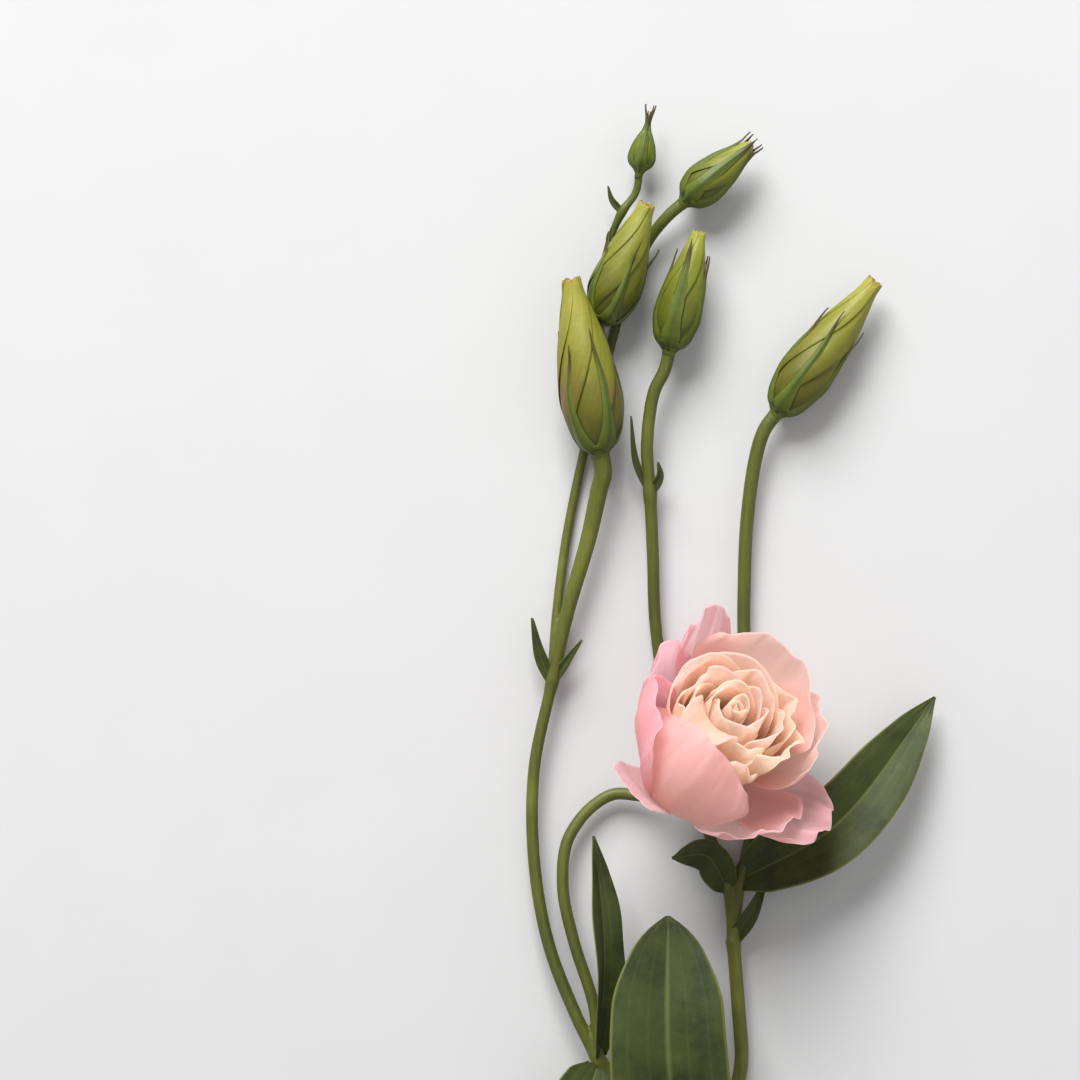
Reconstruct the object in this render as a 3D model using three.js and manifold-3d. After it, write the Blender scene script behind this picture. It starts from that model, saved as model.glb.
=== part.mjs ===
// One cut flowering stem of a double lisianthus, lying on a table and seen from above.
// Units are millimetres, +Z is up, and the table is the plane z = 0.
// X runs to the right and Y towards the buds, as in a photograph taken from straight above.

import * as THREE from "three";
import Module from "manifold-3d";

const wasm = await Module();
wasm.setup();

// ---------------------------------------------------------------- driving dimensions

const MM_PER_PIXEL = 0.32; // on the table; a 65 mm wide bloom is about 204 pixels wide in the photograph
const CAMERA_HEIGHT = 1300; // of the photograph's viewpoint over the table
const IMAGE_CENTRE = { x: 540, y: 540 }; // the pixel straight below the viewpoint
const ORIGIN_PIXEL = { x: 719, y: 880 }; // the pixel of the table under the middle of the stem
const CLEARANCE = 0.35; // between two pieces that touch on the real flower
const BLADE = 0.7; // thickness of a petal
const LEAF_BLADE = 0.8; // thickness of a leaf
const FINEST = 0.02; // detail smaller than this is merged away
const TUBE_SIDES = 6;
const TUBE_STEP = 12; // length of one straight stretch of a stem
const CUP_SIDES = 16; // of the space between the inner and the outer petals
const ROUND_SIDES = 10; // of the small green cups
const CORE_SIDES = 8; // of the bloom's core

// How many flat faces a blade has across and along it.
const LEAF_GRID = [4, 7];
const BRACT_GRID = [2, 3];
const OUTER_PETAL_GRID = [6, 5];
const PAIRED_PETAL_GRID = [3, 5];

const COLOURS = {
  stem: 0x5d7a2e,
  leaf: 0x4a6338,
  sepal: 0x55792f,
  bud: 0xb3b94c,
  outerPetal: 0xefb9c4,
  innerPetal: 0xfbd6c2,
};

// ---------------------------------------------------------------- small helpers

const vector = (x, y, z) => new THREE.Vector3(x, y, z);
const radians = THREE.MathUtils.degToRad;
const smooth = THREE.MathUtils.smoothstep;

// What shows at a pixel of the photograph and lies at a height above the table, in millimetres.
function place([x, y, height]) {
  const nearer = 1 - height / CAMERA_HEIGHT;
  const across = (x - IMAGE_CENTRE.x) * nearer + IMAGE_CENTRE.x - ORIGIN_PIXEL.x;
  const upwards = (IMAGE_CENTRE.y - y) * nearer + ORIGIN_PIXEL.y - IMAGE_CENTRE.y;
  return vector(across * MM_PER_PIXEL, upwards * MM_PER_PIXEL, height);
}

// A value along an outline of [position, value] points, on a smooth curve through them.
function outline(points) {
  const curve = new THREE.SplineCurve(points.map(([t, value]) => new THREE.Vector2(t, value)));
  const samples = curve.getPoints(60);
  return (t) => {
    const next = samples.findIndex((sample) => sample.x >= t);
    if (next <= 0) return next === 0 ? samples[0].y : samples[samples.length - 1].y;
    const [a, b] = [samples[next - 1], samples[next]];
    return THREE.MathUtils.mapLinear(t, a.x, b.x, a.y, b.y);
  };
}

// A closed solid from shared vertices and triangles, turned to face out.
function solidOf(vertices, triangles) {
  const build = (faces) =>
    new wasm.Manifold(
      new wasm.Mesh({
        numProp: 3,
        vertProperties: new Float32Array(vertices.flatMap((v) => v.toArray())),
        triVerts: new Uint32Array(faces.flat()),
      }),
    );
  const made = build(triangles);
  return made.volume() > 0 ? made : build(triangles.map(([a, b, c]) => [a, c, b]));
}

// A solid skinned over rings with equal numbers of points, closed at both ends.
// dimple moves the middle of the last cap back along the last stretch.
function loft(rings, dimple = 0) {
  const count = rings[0].length;
  const vertices = rings.flat();
  const triangles = [];
  for (let ring = 0; ring + 1 < rings.length; ring++) {
    for (let i = 0; i < count; i++) {
      const [a, b] = [ring * count + i, ring * count + ((i + 1) % count)];
      triangles.push([a, b, b + count], [a, b + count, a + count]);
    }
  }
  const middle = (ring) => ring.reduce((sum, p) => sum.add(p), vector(0, 0, 0)).divideScalar(count);
  const first = vertices.push(middle(rings[0])) - 1;
  const end = middle(rings.at(-1));
  const last = vertices.push(end.lerp(middle(rings.at(-2)), dimple)) - 1;
  const lastRing = (rings.length - 1) * count;
  for (let i = 0; i < count; i++) {
    const next = (i + 1) % count;
    triangles.push([first, next, i], [last, lastRing + i, lastRing + next]);
  }
  return solidOf(vertices, triangles);
}

// A thick sheet over surface(u, v), with u from -1 to 1 across it and v from 0 to 1 along it.
function sheet(surface, across, along, thickness) {
  const STEP = 0.01;
  const faces = [[], []];
  for (let j = 0; j <= along; j++) {
    for (let i = 0; i <= across; i++) {
      const [u, v] = [(2 * i) / across - 1, j / along];
      const alongU = surface(u + STEP, v).sub(surface(u - STEP, v));
      const alongV = surface(u, v + STEP).sub(surface(u, v - STEP));
      const normal = alongU.cross(alongV).normalize();
      faces[0].push(surface(u, v).addScaledVector(normal, thickness / 2));
      faces[1].push(surface(u, v).addScaledVector(normal, -thickness / 2));
    }
  }
  const back = faces[0].length;
  const at = (i, j) => j * (across + 1) + i;
  const triangles = [];
  const quad = (a, b, c, d) => triangles.push([a, b, c], [a, c, d]);
  for (let j = 0; j < along; j++) {
    for (let i = 0; i < across; i++) {
      const [a, b, c, d] = [at(i, j), at(i + 1, j), at(i + 1, j + 1), at(i, j + 1)];
      triangles.push([a, b, c], [a, c, d], [back + a, back + c, back + b], [back + a, back + d, back + c]);
    }
  }
  for (let i = 0; i < across; i++) {
    quad(at(i + 1, 0), at(i, 0), back + at(i, 0), back + at(i + 1, 0));
    quad(at(i, along), at(i + 1, along), back + at(i + 1, along), back + at(i, along));
  }
  for (let j = 0; j < along; j++) {
    quad(at(0, j), at(0, j + 1), back + at(0, j + 1), back + at(0, j));
    quad(at(across, j + 1), at(across, j), back + at(across, j), back + at(across, j + 1));
  }
  return solidOf(faces.flat(), triangles);
}

// The largest body of a solid; cutting can leave scraps beside it.
const largest = (solid) => solid.decompose().reduce((a, b) => (b.volume() > a.volume() ? b : a));

const join = (solids) => wasm.Manifold.union(solids);

const group = new THREE.Group();

// Adds one solid as a named mesh. What dips below the table is cut off flat there.
function addPiece(name, solid, colour, roughness) {
  const body = largest(solid.trimByPlane([0, 0, 1], 0).simplify(FINEST));
  const mesh = body.getMesh();
  const geometry = new THREE.BufferGeometry();
  geometry.setAttribute("position", new THREE.BufferAttribute(mesh.vertProperties, 3));
  geometry.setIndex(new THREE.BufferAttribute(mesh.triVerts, 1));
  geometry.computeVertexNormals();
  const material = new THREE.MeshStandardMaterial({ color: colour, roughness, metalness: 0 });
  const piece = new THREE.Mesh(geometry, material);
  piece.name = name;
  group.add(piece);
}

// ---------------------------------------------------------------- stems

// A tapering round stem through points in millimetres, grown on all sides by extra.
function stem(points, [startRadius, endRadius], extra = 0) {
  const curve = new THREE.CatmullRomCurve3(points, false, "centripetal");
  const steps = Math.max(2, Math.round(curve.getLength() / TUBE_STEP));
  const frames = curve.computeFrenetFrames(steps);
  const rings = [];
  for (let k = 0; k <= steps; k++) {
    const radius = THREE.MathUtils.lerp(startRadius, endRadius, k / steps) + extra;
    rings.push(
      Array.from({ length: TUBE_SIDES }, (_, i) => {
        const angle = (2 * Math.PI * i) / TUBE_SIDES;
        return curve
          .getPointAt(k / steps)
          .addScaledVector(frames.normals[k], radius * Math.cos(angle))
          .addScaledVector(frames.binormals[k], radius * Math.sin(angle));
      }),
    );
  }
  return loft(rings);
}

// Where the stem forks or carries leaves, as [pixel x, pixel y, height].
const CUT_END = [694, 1655, 2.3];
const FOOT_NODE = [690, 1550, 2.9];
const MIDDLE_NODE = [684, 1392, 5];
const LOW_NODE = [680, 1195, 8];
const LEFT_NODE = [598, 1060, 11];
const RIGHT_NODE = [733, 940, 6];
const BUD_NODE = [552, 682, 7];
const TRIPLE_NODE = [596, 402, 1.3];
const INNER_NODE = [650, 493, 7];
const HIGH_NODE = [622, 212, 7];

// Each stretch of the stem: its points, then its radius at both ends.
const STRETCHES = [
  { points: [CUT_END, FOOT_NODE, MIDDLE_NODE, [681, 1300, 7], LOW_NODE], radii: [3.1, 2.8] },
  { points: [LOW_NODE, [650, 1130, 10], LEFT_NODE], radii: [2.5, 2.3] },
  {
    points: [LOW_NODE, [704, 1150, 7.5], [730, 1105, 6.5], [741, 1065, 6], [738, 1004, 6], RIGHT_NODE],
    radii: [2.4, 2.2],
  },
  {
    points: [LEFT_NODE, [574, 1011, 10], [548, 942, 8], [534, 860, 6.5], [534, 770, 6.5], BUD_NODE],
    radii: [2.1, 1.9],
  },
  { points: [BUD_NODE, [556, 620, 4.5], [566, 540, 2.4], [582, 460, 1.5], TRIPLE_NODE], radii: [1.6, 1.5] },
];

// The stalk of the bloom arches to the left and comes back under the bloom.
const BLOOM_STALK = {
  points: [
    LEFT_NODE, [594, 1007, 11], [574, 942, 9.5], [563, 890, 8], [566, 845, 6.5], [578, 822, 5.5],
    [594, 805, 5], [614, 794, 5], [636, 795, 5.5], [657, 797, 7.5],
  ],
  radii: [1.9, 2],
};

// The last points of a stalk that ends under a calyx, whose foot and axis are given.
const stalkEnd = (foot, axis) => [6, CLEARANCE].map((below) => foot.clone().addScaledVector(axis, -below));

// ---------------------------------------------------------------- leaves

const LEAF_OUTLINE = outline([[0, 0.3], [0.12, 0.74], [0.36, 1], [0.62, 0.9], [0.85, 0.5], [1, 0.035]]);
const BLUNT_OUTLINE = outline([
  [0, 0.3], [0.12, 0.7], [0.4, 1], [0.68, 0.94], [0.88, 0.6], [0.96, 0.3], [1, 0.035],
]);
const BRACT_OUTLINE = outline([[0, 0.8], [0.3, 1], [0.7, 0.6], [1, 0.2]]);

// A leaf blade from its base through a middle point to its tip. facing is the way its upper
// side looks, fold lifts both edges, and wave ripples them.
function leafSurface({ base, middle, tip, width, facing = [0, 0, 1], fold, wave = 0 }, shape) {
  const curve = new THREE.CatmullRomCurve3([base, middle, tip].map(place), false, "centripetal");
  const up = vector(...facing).normalize();
  const lift = radians(fold);
  return (u, v) => {
    const t = THREE.MathUtils.clamp(v, 0, 1);
    const tangent = curve.getTangentAt(t);
    const sideways = tangent.clone().cross(up).normalize();
    const normal = sideways.clone().cross(tangent).normalize();
    const x = u * (width / 2) * shape(t);
    const ripple = wave * Math.abs(u) ** 2 * Math.sin(2 * Math.PI * v + (u > 0 ? 1.2 : 0)) * shape(t);
    return curve
      .getPointAt(t)
      .addScaledVector(tangent, (v - t) * curve.getLength())
      .addScaledVector(sideways, x * Math.cos(lift))
      .addScaledVector(normal, Math.abs(x) * Math.sin(lift) + ripple);
  };
}

// Large leaves. Each grows from a node of the stem, mostly in a pair with another.
const LEAVES = [
  {
    name: "leaf_front", base: [682, 1192, 10], middle: [668, 1050, 26], tip: [668, 916, 20],
    width: 40, fold: 20, wave: 1.5, shape: BLUNT_OUTLINE,
  },
  {
    name: "leaf_low_left", base: [676, 1202, 8], middle: [600, 1215, 12], tip: [505, 1160, 2],
    width: 28, fold: 18, wave: 1.5,
  },
  {
    name: "leaf_hanging", base: [597, 1066, 12], middle: [582, 1120, 25], tip: [560, 1215, 24],
    width: 24, fold: 14, wave: 1,
  },
  {
    name: "leaf_behind_arch", base: [599, 1056, 12], middle: [604, 950, 20], tip: [594, 836, 17],
    width: 17, facing: [0.75, 0.1, 0.66], fold: 26, wave: 1,
  },
  {
    name: "leaf_right", base: [739, 881, 5], middle: [836, 825, 14], tip: [935, 697, 7],
    width: 26, facing: [0.25, 0.35, 0.9], fold: 24, wave: 1,
  },
  {
    name: "leaf_small", base: [728, 890, 5], middle: [706, 856, 11], tip: [672, 858, 13],
    width: 12, fold: 16, wave: 0.5,
  },
  {
    name: "leaf_middle_left", base: [678, 1393, 5.5], middle: [600, 1340, 16], tip: [505, 1275, 0.4],
    width: 29, fold: 18, wave: 1.5,
  },
  {
    name: "leaf_middle_right", base: [690, 1391, 5.5], middle: [768, 1330, 16], tip: [850, 1250, 0.4],
    width: 30, fold: 18, wave: 1.5,
  },
  {
    name: "leaf_foot_left", base: [684, 1551, 3.5], middle: [634, 1480, 12], tip: [572, 1400, 3],
    width: 24, fold: 18, wave: 1.5,
  },
  {
    name: "leaf_foot_right", base: [696, 1549, 3.5], middle: [760, 1492, 12], tip: [822, 1420, 3],
    width: 25, fold: 18, wave: 1.5,
  },
];

// Small pointed leaves at the upper forks, grown as one with the stem.
const BRACT_FOLD = 22;
const BRACTS = [
  { base: BUD_NODE, middle: [540, 655, 8], tip: [532, 618, 10], width: 4.5 },
  { base: BUD_NODE, middle: [566, 662, 9], tip: [582, 640, 11], width: 3.5 },
  { base: INNER_NODE, middle: [636, 462, 9], tip: [631, 416, 11], width: 2.6 },
  { base: INNER_NODE, middle: [660, 476, 10], tip: [658, 462, 12], width: 3.5 },
  { base: TRIPLE_NODE, middle: [580, 380, 2], tip: [571, 350, 3], width: 2.8 },
  { base: RIGHT_NODE, middle: [752, 912, 8], tip: [766, 880, 6], width: 6 },
  { base: HIGH_NODE, middle: [612, 200, 8], tip: [608, 186, 9], width: 2.4 },
];

// ---------------------------------------------------------------- buds

// How thick a bud is along its length, as a share of its radius.
const BUD_PROFILE = outline([
  [0, 0.5], [0.1, 0.8], [0.28, 1], [0.55, 0.86], [0.8, 0.54], [0.93, 0.36], [1, 0.29],
]);
const BUD_PETALS = 5;
const BUD_RINGS = [0, 0.1, 0.25, 0.44, 0.64, 0.82, 1]; // shares of its length
const RIDGE_POINTS = 4; // points across each petal that shows in a furled bud
const RIDGE = 0.1; // how far one petal's edge stands over the next, as a share of the radius
const CUP = 3.2; // height of the green cup under the petals
const SEPAL_STEPS = 5;

// A furled bud from its base to its tip, with the stalk that carries it. twist is the turn of
// its petals in degrees, sepals how far the green sepals reach, as a share of its length, and
// open how far their ends stand off.
const BUDS = [
  {
    name: "bud_left", base: [600, 454, 13], tip: [571, 279, 19],
    radius: 9.6, twist: 150, sepals: 0.68, open: 1.5, turn: 20,
    stalk: { points: [BUD_NODE, [568, 610, 8], [588, 540, 9], [599, 490, 11]], radii: [2, 3] },
  },
  {
    name: "bud_upper", base: [600, 325, 10.4], tip: [647, 204, 18.5],
    radius: 8, twist: 140, sepals: 0.72, open: 4, turn: 50,
    stalk: { points: [TRIPLE_NODE, [602, 372, 4]], radii: [1.3, 1.9] },
  },
  {
    name: "bud_right", base: [776, 414, 7.8], tip: [875, 281, 10.3],
    radius: 8.2, twist: 150, sepals: 0.72, open: 2, turn: 10,
    stalk: {
      points: [
        RIGHT_NODE, [740, 881, 5], [750, 838, 4.4], [753, 780, 4.2], [748, 700, 4.4], [744, 640, 5],
        [744, 590, 5], [747, 520, 5.8], [756, 456, 6.8],
      ],
      radii: [1.9, 2.3],
    },
  },
  {
    name: "bud_inner", base: [669, 352, 10.5], tip: [699, 232, 13],
    radius: 7.2, twist: 120, sepals: 0.88, open: 2, turn: 30,
    stalk: {
      points: [
        RIGHT_NODE, [728, 890, 5], [710, 836, 3.4], [686, 765, 3.2], [665, 690, 3.6], [655, 620, 4.5],
        [653, 560, 5.5], INNER_NODE, [647, 445, 8.5], [654, 392, 9.6],
      ],
      radii: [1.8, 2.1],
    },
  },
  {
    name: "bud_high", base: [683, 203, 8.5], tip: [752, 144, 12],
    radius: 6.4, twist: 120, sepals: 1.08, open: 1, turn: 0,
    stalk: {
      points: [TRIPLE_NODE, [607, 360, 1.6], [622, 305, 2], [638, 262, 3.2], [650, 238, 5]],
      radii: [1.4, 2],
    },
  },
  {
    name: "bud_small", base: [639, 174, 8], tip: [647, 129, 10],
    radius: 3.9, twist: 90, sepals: 1.7, open: 1.6, turn: 40,
    stalk: {
      points: [TRIPLE_NODE, [594, 345, 1.5], [599, 290, 2.2], [609, 243, 4.5], HIGH_NODE],
      radii: [1.1, 1.3],
    },
  },
];

// The bud's own upright frame: point(angle, distance from its axis, height along it).
function budFrame({ base, tip }) {
  const [foot, head] = [place(base), place(tip)];
  const axis = head.clone().sub(foot);
  const turn = new THREE.Quaternion().setFromUnitVectors(vector(0, 0, 1), axis.clone().normalize());
  const point = (angle, distance, height) =>
    vector(distance * Math.cos(angle), distance * Math.sin(angle), height).applyQuaternion(turn).add(foot);
  return { point, foot, axis: axis.clone().normalize(), length: axis.length() };
}

// The furled petals of a bud, grown on all sides by extra.
function budPetals(bud, extra = 0) {
  const { point, length } = budFrame(bud);
  const foot = CUP + CLEARANCE - extra;
  const sides = BUD_PETALS * RIDGE_POINTS;
  const rings = BUD_RINGS.map((t) =>
    Array.from({ length: sides }, (_, i) => {
      const angle = (2 * Math.PI * i) / sides + radians(bud.twist) * t;
      const ridge = 1 + RIDGE * ((i % RIDGE_POINTS) / (RIDGE_POINTS - 1) - 0.5) * Math.min(1, 5 * t);
      return point(angle, bud.radius * BUD_PROFILE(t) * ridge + extra, foot + (length + extra - foot) * t);
    }),
  );
  return loft(rings, 0.7);
}

// The green cup under the petals, as [distance from the bud's axis, height] points.
const calyxCup = (rim, stalkRadius) => [[stalkRadius, 0], [rim * 0.75, CUP * 0.4], [rim, CUP]];

function budCalyx(bud) {
  const { point, length } = budFrame(bud);
  const rim = bud.radius * 0.6;
  const cup = loft(
    calyxCup(rim, bud.stalk.radii[1]).map(([r, h]) =>
      Array.from({ length: ROUND_SIDES }, (_, i) => point((2 * Math.PI * i) / ROUND_SIDES, r, h)),
    ),
  );
  const sepals = Array.from({ length: BUD_PETALS }, (_, k) =>
    budSepal(bud, point, length, radians(bud.turn + (360 * k) / BUD_PETALS)),
  );
  return join([cup, ...sepals]);
}

// One narrow keeled sepal that rises out of the cup and follows the furled petals.
function budSepal(bud, point, length, angle) {
  const foot = CUP + CLEARANCE;
  const width = 1.1 + bud.radius * 0.28;
  const ring = (distance, half, keel, height) => [
    point(angle - half / distance, distance, height),
    point(angle, distance + keel, height),
    point(angle + half / distance, distance, height),
  ];
  const rings = [ring(bud.radius * 0.36, width * 0.4, 0.5, CUP * 0.5)];
  for (let k = 0; k <= SEPAL_STEPS; k++) {
    const share = k / SEPAL_STEPS;
    const t = bud.sepals * share;
    const clear = bud.radius * BUD_PROFILE(Math.min(t, 0.9)) * (1 + RIDGE / 2) + CLEARANCE + 0.3;
    const off = bud.open * smooth(share, 0.7, 1) * share;
    const half = Math.max(0.35, (width / 2) * (1 - share ** 1.6));
    rings.push(ring(clear + off, half, 0.45 + 0.75 * (1 - share), foot - 0.4 + (length - foot) * t));
  }
  return loft(rings);
}

// ---------------------------------------------------------------- the open bloom

const BLOOM_BASE = [698, 767, 22]; // where its petals start
const BLOOM_AXIS = vector(0.325, 0.565, 0.758).normalize(); // the way it faces

const bloomTurn = (() => {
  const up = vector(0, 1, 0);
  const v = up.addScaledVector(BLOOM_AXIS, -up.dot(BLOOM_AXIS)).normalize();
  const u = v.clone().cross(BLOOM_AXIS);
  return new THREE.Matrix4().makeBasis(u, v, BLOOM_AXIS).setPosition(place(BLOOM_BASE));
})();

// A place in the bloom: angle round its axis, distance from the axis, height over its base.
const inBloom = (angle, distance, height) =>
  vector(distance * Math.cos(angle), distance * Math.sin(angle), height).applyMatrix4(bloomTurn);

// Distance along, and away from, a line that first bends inwards on radius bend and, past
// flat, rolls back outwards on radius roll.
function crossSection(x, bend, flat, roll) {
  const side = Math.sign(x);
  const inner = Math.min(Math.abs(x), flat);
  const angle = inner / bend;
  let [along, away] = [bend * Math.sin(angle), -bend * (1 - Math.cos(angle))];
  const rest = Math.abs(x) - inner;
  if (rest > 0) {
    const turned = rest / roll;
    along += roll * (Math.sin(angle) - Math.sin(angle - turned));
    away += roll * (Math.cos(angle - turned) - Math.cos(angle));
  }
  return [side * along, away];
}

const PETAL_OUTLINE = outline([[0, 0.2], [0.25, 0.55], [0.55, 0.92], [0.8, 1], [1, 0.82]]);
const PATH_STEPS = 60;

// The middle line of a petal from its foot: how far out, how far up and how much it leans.
function petalPath({ lean, turn = 1, length, start = [3.2, 0], lip = 0, lipFrom = 0.86, lipTo = 1 }) {
  const path = [{ out: start[0], up: start[1], tilt: radians(lean[0]) }];
  const step = length / PATH_STEPS;
  for (let k = 0; k < PATH_STEPS; k++) {
    const share = (k + 0.5) / PATH_STEPS;
    const bent = lean[0] + (lean[1] - lean[0]) * share ** turn;
    const tilt = radians(bent + lip * smooth(share, lipFrom, lipTo));
    path.push({ out: path[k].out + step * Math.sin(tilt), up: path[k].up + step * Math.cos(tilt), tilt });
  }
  return path;
}

// One petal, with u across it and v from its foot to its rim.
// lean: its angle from the bloom's axis at the foot and at the rim, reached along a power turn
// lip: how far the rim bends out again between the shares lipFrom and lipTo of its length
// start: where its foot is; wrap: how far it curves round the axis; least: the tightest such curve
// corner: how much its corners are rounded; peak: how far a point stands out of its rim
// flatLeft, flatRight: the share of that half that doesn't roll back, on rollLeft or rollRight
// spread: how much wider its right half grows past spreadFrom; tuck: how far its left half sinks in
// ruffle, waves, phase: the waves of its rim; lap: how far one edge stands over its neighbour
function petalSurface(petal) {
  const { angle, length, width, wrap = 1.1, least = 4, corner = 0.16, peak = 0, peakAt = 0 } = petal;
  const { flatLeft = 9, flatRight = 9, rollLeft = 4, rollRight = 4, lap = 0, tuck = 0 } = petal;
  const { spread = 0, spreadFrom = 0.5, ruffle = 0, waves = 3, phase = 0 } = petal;
  const path = petalPath(petal);
  return (u, v) => {
    const along = THREE.MathUtils.clamp(v, 0, 1);
    const top = 1 - corner * Math.abs(u) ** 2.4 + peak * Math.exp(-(((u - peakAt) / 0.22) ** 2));
    const reach = v * top;
    const k = THREE.MathUtils.clamp(Math.floor(reach * PATH_STEPS), 0, PATH_STEPS - 1);
    const [a, b] = [path[k], path[k + 1]];
    const part = reach * PATH_STEPS - k;
    const [out, up, tilt] = ["out", "up", "tilt"].map((key) => a[key] + (b[key] - a[key]) * part);
    const wider = 1 + spread * smooth(u, 0, 1) * smooth(v, spreadFrom, spreadFrom + 0.5);
    const x = u * (width / 2) * PETAL_OUTLINE(along) * wider;
    const [flat, roll] = u < 0 ? [flatLeft, rollLeft] : [flatRight, rollRight];
    const [across, curl] = crossSection(x, Math.max(wrap * out, least), flat * (width / 2), roll);
    const sides = smooth(Math.abs(u), 0.55, 1) * smooth(v, 0.3, 0.8);
    const wave = ruffle * (along ** 3 + 0.5 * sides) * Math.sin(waves * Math.PI * u + phase);
    const sunk = tuck * smooth(-u, -0.1, 1) * smooth(v, 0.1, 0.5);
    const away = curl + wave + lap * u * smooth(v, 0, 0.35) - sunk;
    const distance = out + away * Math.cos(tilt);
    return inBloom(
      radians(angle) + Math.atan2(across, distance),
      Math.hypot(across, distance),
      up - away * Math.sin(tilt),
    );
  };
}

// The large outer petals, placed one by one as the photograph shows them.
const OUTER_PETALS = [
  {
    angle: 90, lean: [70, 10], turn: 1.1, length: 50.5, width: 24, wrap: 0.8, lip: 10,
    corner: 0.12, peak: 0.05, peakAt: -0.1, ruffle: 1, lap: -5,
  },
  {
    angle: 130, lean: [74, -6], turn: 1.1, length: 48, width: 42, wrap: 0.95, lip: 14,
    corner: 0.45, ruffle: 0.8, lap: -1, spread: -0.1,
  },
  {
    angle: 177, lean: [82, -24], turn: 1.2, length: 50, width: 54, wrap: 0.95, flatLeft: 0.3, rollLeft: 5,
    flatRight: 0.3, rollRight: 10, lap: 3, spread: -0.28, spreadFrom: -0.2, ruffle: 0.5,
  },
  {
    angle: 208, lean: [92, 14], turn: 1.2, length: 43, width: 22, wrap: 1.2, lip: 40, lipFrom: 0.7,
    start: [3.2, -0.8], corner: 0,
  },
  {
    angle: 214, lean: [101, -64], turn: 1.07, length: 64, width: 48, wrap: 1.05, lip: 6,
    start: [3.2, -2], corner: 0.08, ruffle: 0.8, spread: 0.33, tuck: 12,
  },
  {
    angle: 286, lean: [90, 10], turn: 1.6, length: 40, width: 42, wrap: 1.3, lip: 10,
    start: [3.2, -0.8], ruffle: 1,
  },
  {
    angle: 316, lean: [90, 50], length: 44, width: 32, wrap: 1, lip: 6,
    start: [3.2, -1.6], ruffle: 1.2,
  },
  { angle: 354, lean: [78, -8], turn: 1.2, length: 46, width: 44, wrap: 1, lip: 14, ruffle: 1, lap: 2 },
  { angle: 40, lean: [74, -8], turn: 1.1, length: 50, width: 58, wrap: 1, lip: 10, ruffle: 0.9, tuck: 5 },
];

// The inner petals stand in rings; each ring's petals are made by one rule from their number.
// grid: how many flat faces each of its petals has across and along it.
const INNER_RINGS = [
  {
    count: 6,
    grid: [4, 4],
    petal: (k) => ({
      angle: 60 * k + 8 * (k % 2), lean: [74, -12], turn: 0.9, length: 37 + (k % 3), width: 38, wrap: 0.85,
      least: 5, start: [2.2, 4.6], lip: 26, lipFrom: 0.82, ruffle: 1, waves: 2.2, phase: 1.9 * k, lap: 2.6,
    }),
  },
  {
    count: 4,
    grid: [4, 3],
    petal: (k) => ({
      angle: 256 + 72 * k, lean: [60, -14], turn: 0.85, length: 36, width: 29, wrap: 0.85,
      start: [2, 4.8], lip: 20, lipFrom: 0.82, ruffle: 0.8, waves: 1.8, phase: 2.3 * k, lap: 2.4,
    }),
  },
  {
    count: 6,
    grid: [3, 3],
    petal: (k) => ({
      angle: 20 + 60 * k, lean: [44, -16], turn: 0.8, length: 34.5, width: 22, wrap: 0.85,
      least: 3, start: [1.6, 5], lip: 10, lipFrom: 0.84, ruffle: 0.4, waves: 1.6, phase: 2.3 * k, lap: 2.2,
    }),
  },
  {
    count: 5,
    grid: [3, 3],
    petal: (k) => ({
      angle: 35 + 130 * k, lean: [26 - 4 * k, k - 12], turn: 0.8, length: 32 - 0.4 * k, width: 17 - 2.2 * k,
      wrap: 0.8, least: 1.6, start: [1.1 - 0.1 * k, 5.5], lip: 4, lipFrom: 0.88, lap: 1.6 - 0.2 * k,
    }),
  },
];

// In the second ring two petals stand closer together, and the rim of one is turned right over.
const PAIRED_PETALS = [
  {
    angle: 168, lean: [54, -8], turn: 0.85, length: 35, width: 30, wrap: 0.9,
    start: [2, 4.8], lip: 14, lipFrom: 0.84, ruffle: 0.5, waves: 1.4, phase: 3, lap: 1.6,
  },
  {
    angle: 206, lean: [40, -16], turn: 0.85, length: 43, width: 20, wrap: 1.2, least: 6,
    start: [2, 4.8], lip: 122, lipFrom: 0.68, lipTo: 0.84, corner: 0.15,
  },
];

// The cup between inner and outer petals, as [distance from the axis, height] points. It is
// dented where the front petal leans over the inner ones.
const CUP_OUTLINE = [
  [3, 4], [9, 5.5], [15.3, 11], [19.5, 17], [22.8, 23.5], [23.6, 30], [22.5, 40], [22, 60],
];
const FRONT = { angle: radians(214), half: radians(60), depth: 4.5, low: 20, high: 32 };

// A solid round the bloom's axis.
function bloomLathe(points, sides) {
  const turns = Array.from({ length: sides }, (_, i) => (2 * Math.PI * i) / sides);
  return loft(points.map(([r, h]) => turns.map((angle) => inBloom(angle, r, h))));
}

// The cup, grown on all sides by extra.
function cup(extra) {
  const turns = Array.from({ length: CUP_SIDES }, (_, i) => (2 * Math.PI * i) / CUP_SIDES);
  const dent = (angle, h) => {
    const sideways = 1 - smooth(Math.abs(angle - FRONT.angle), 0, FRONT.half);
    return FRONT.depth * sideways * smooth(h, FRONT.low, FRONT.high);
  };
  return loft(
    CUP_OUTLINE.map(([r, h]) => turns.map((angle) => inBloom(angle, r + extra - dent(angle, h), h - extra))),
  );
}

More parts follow.
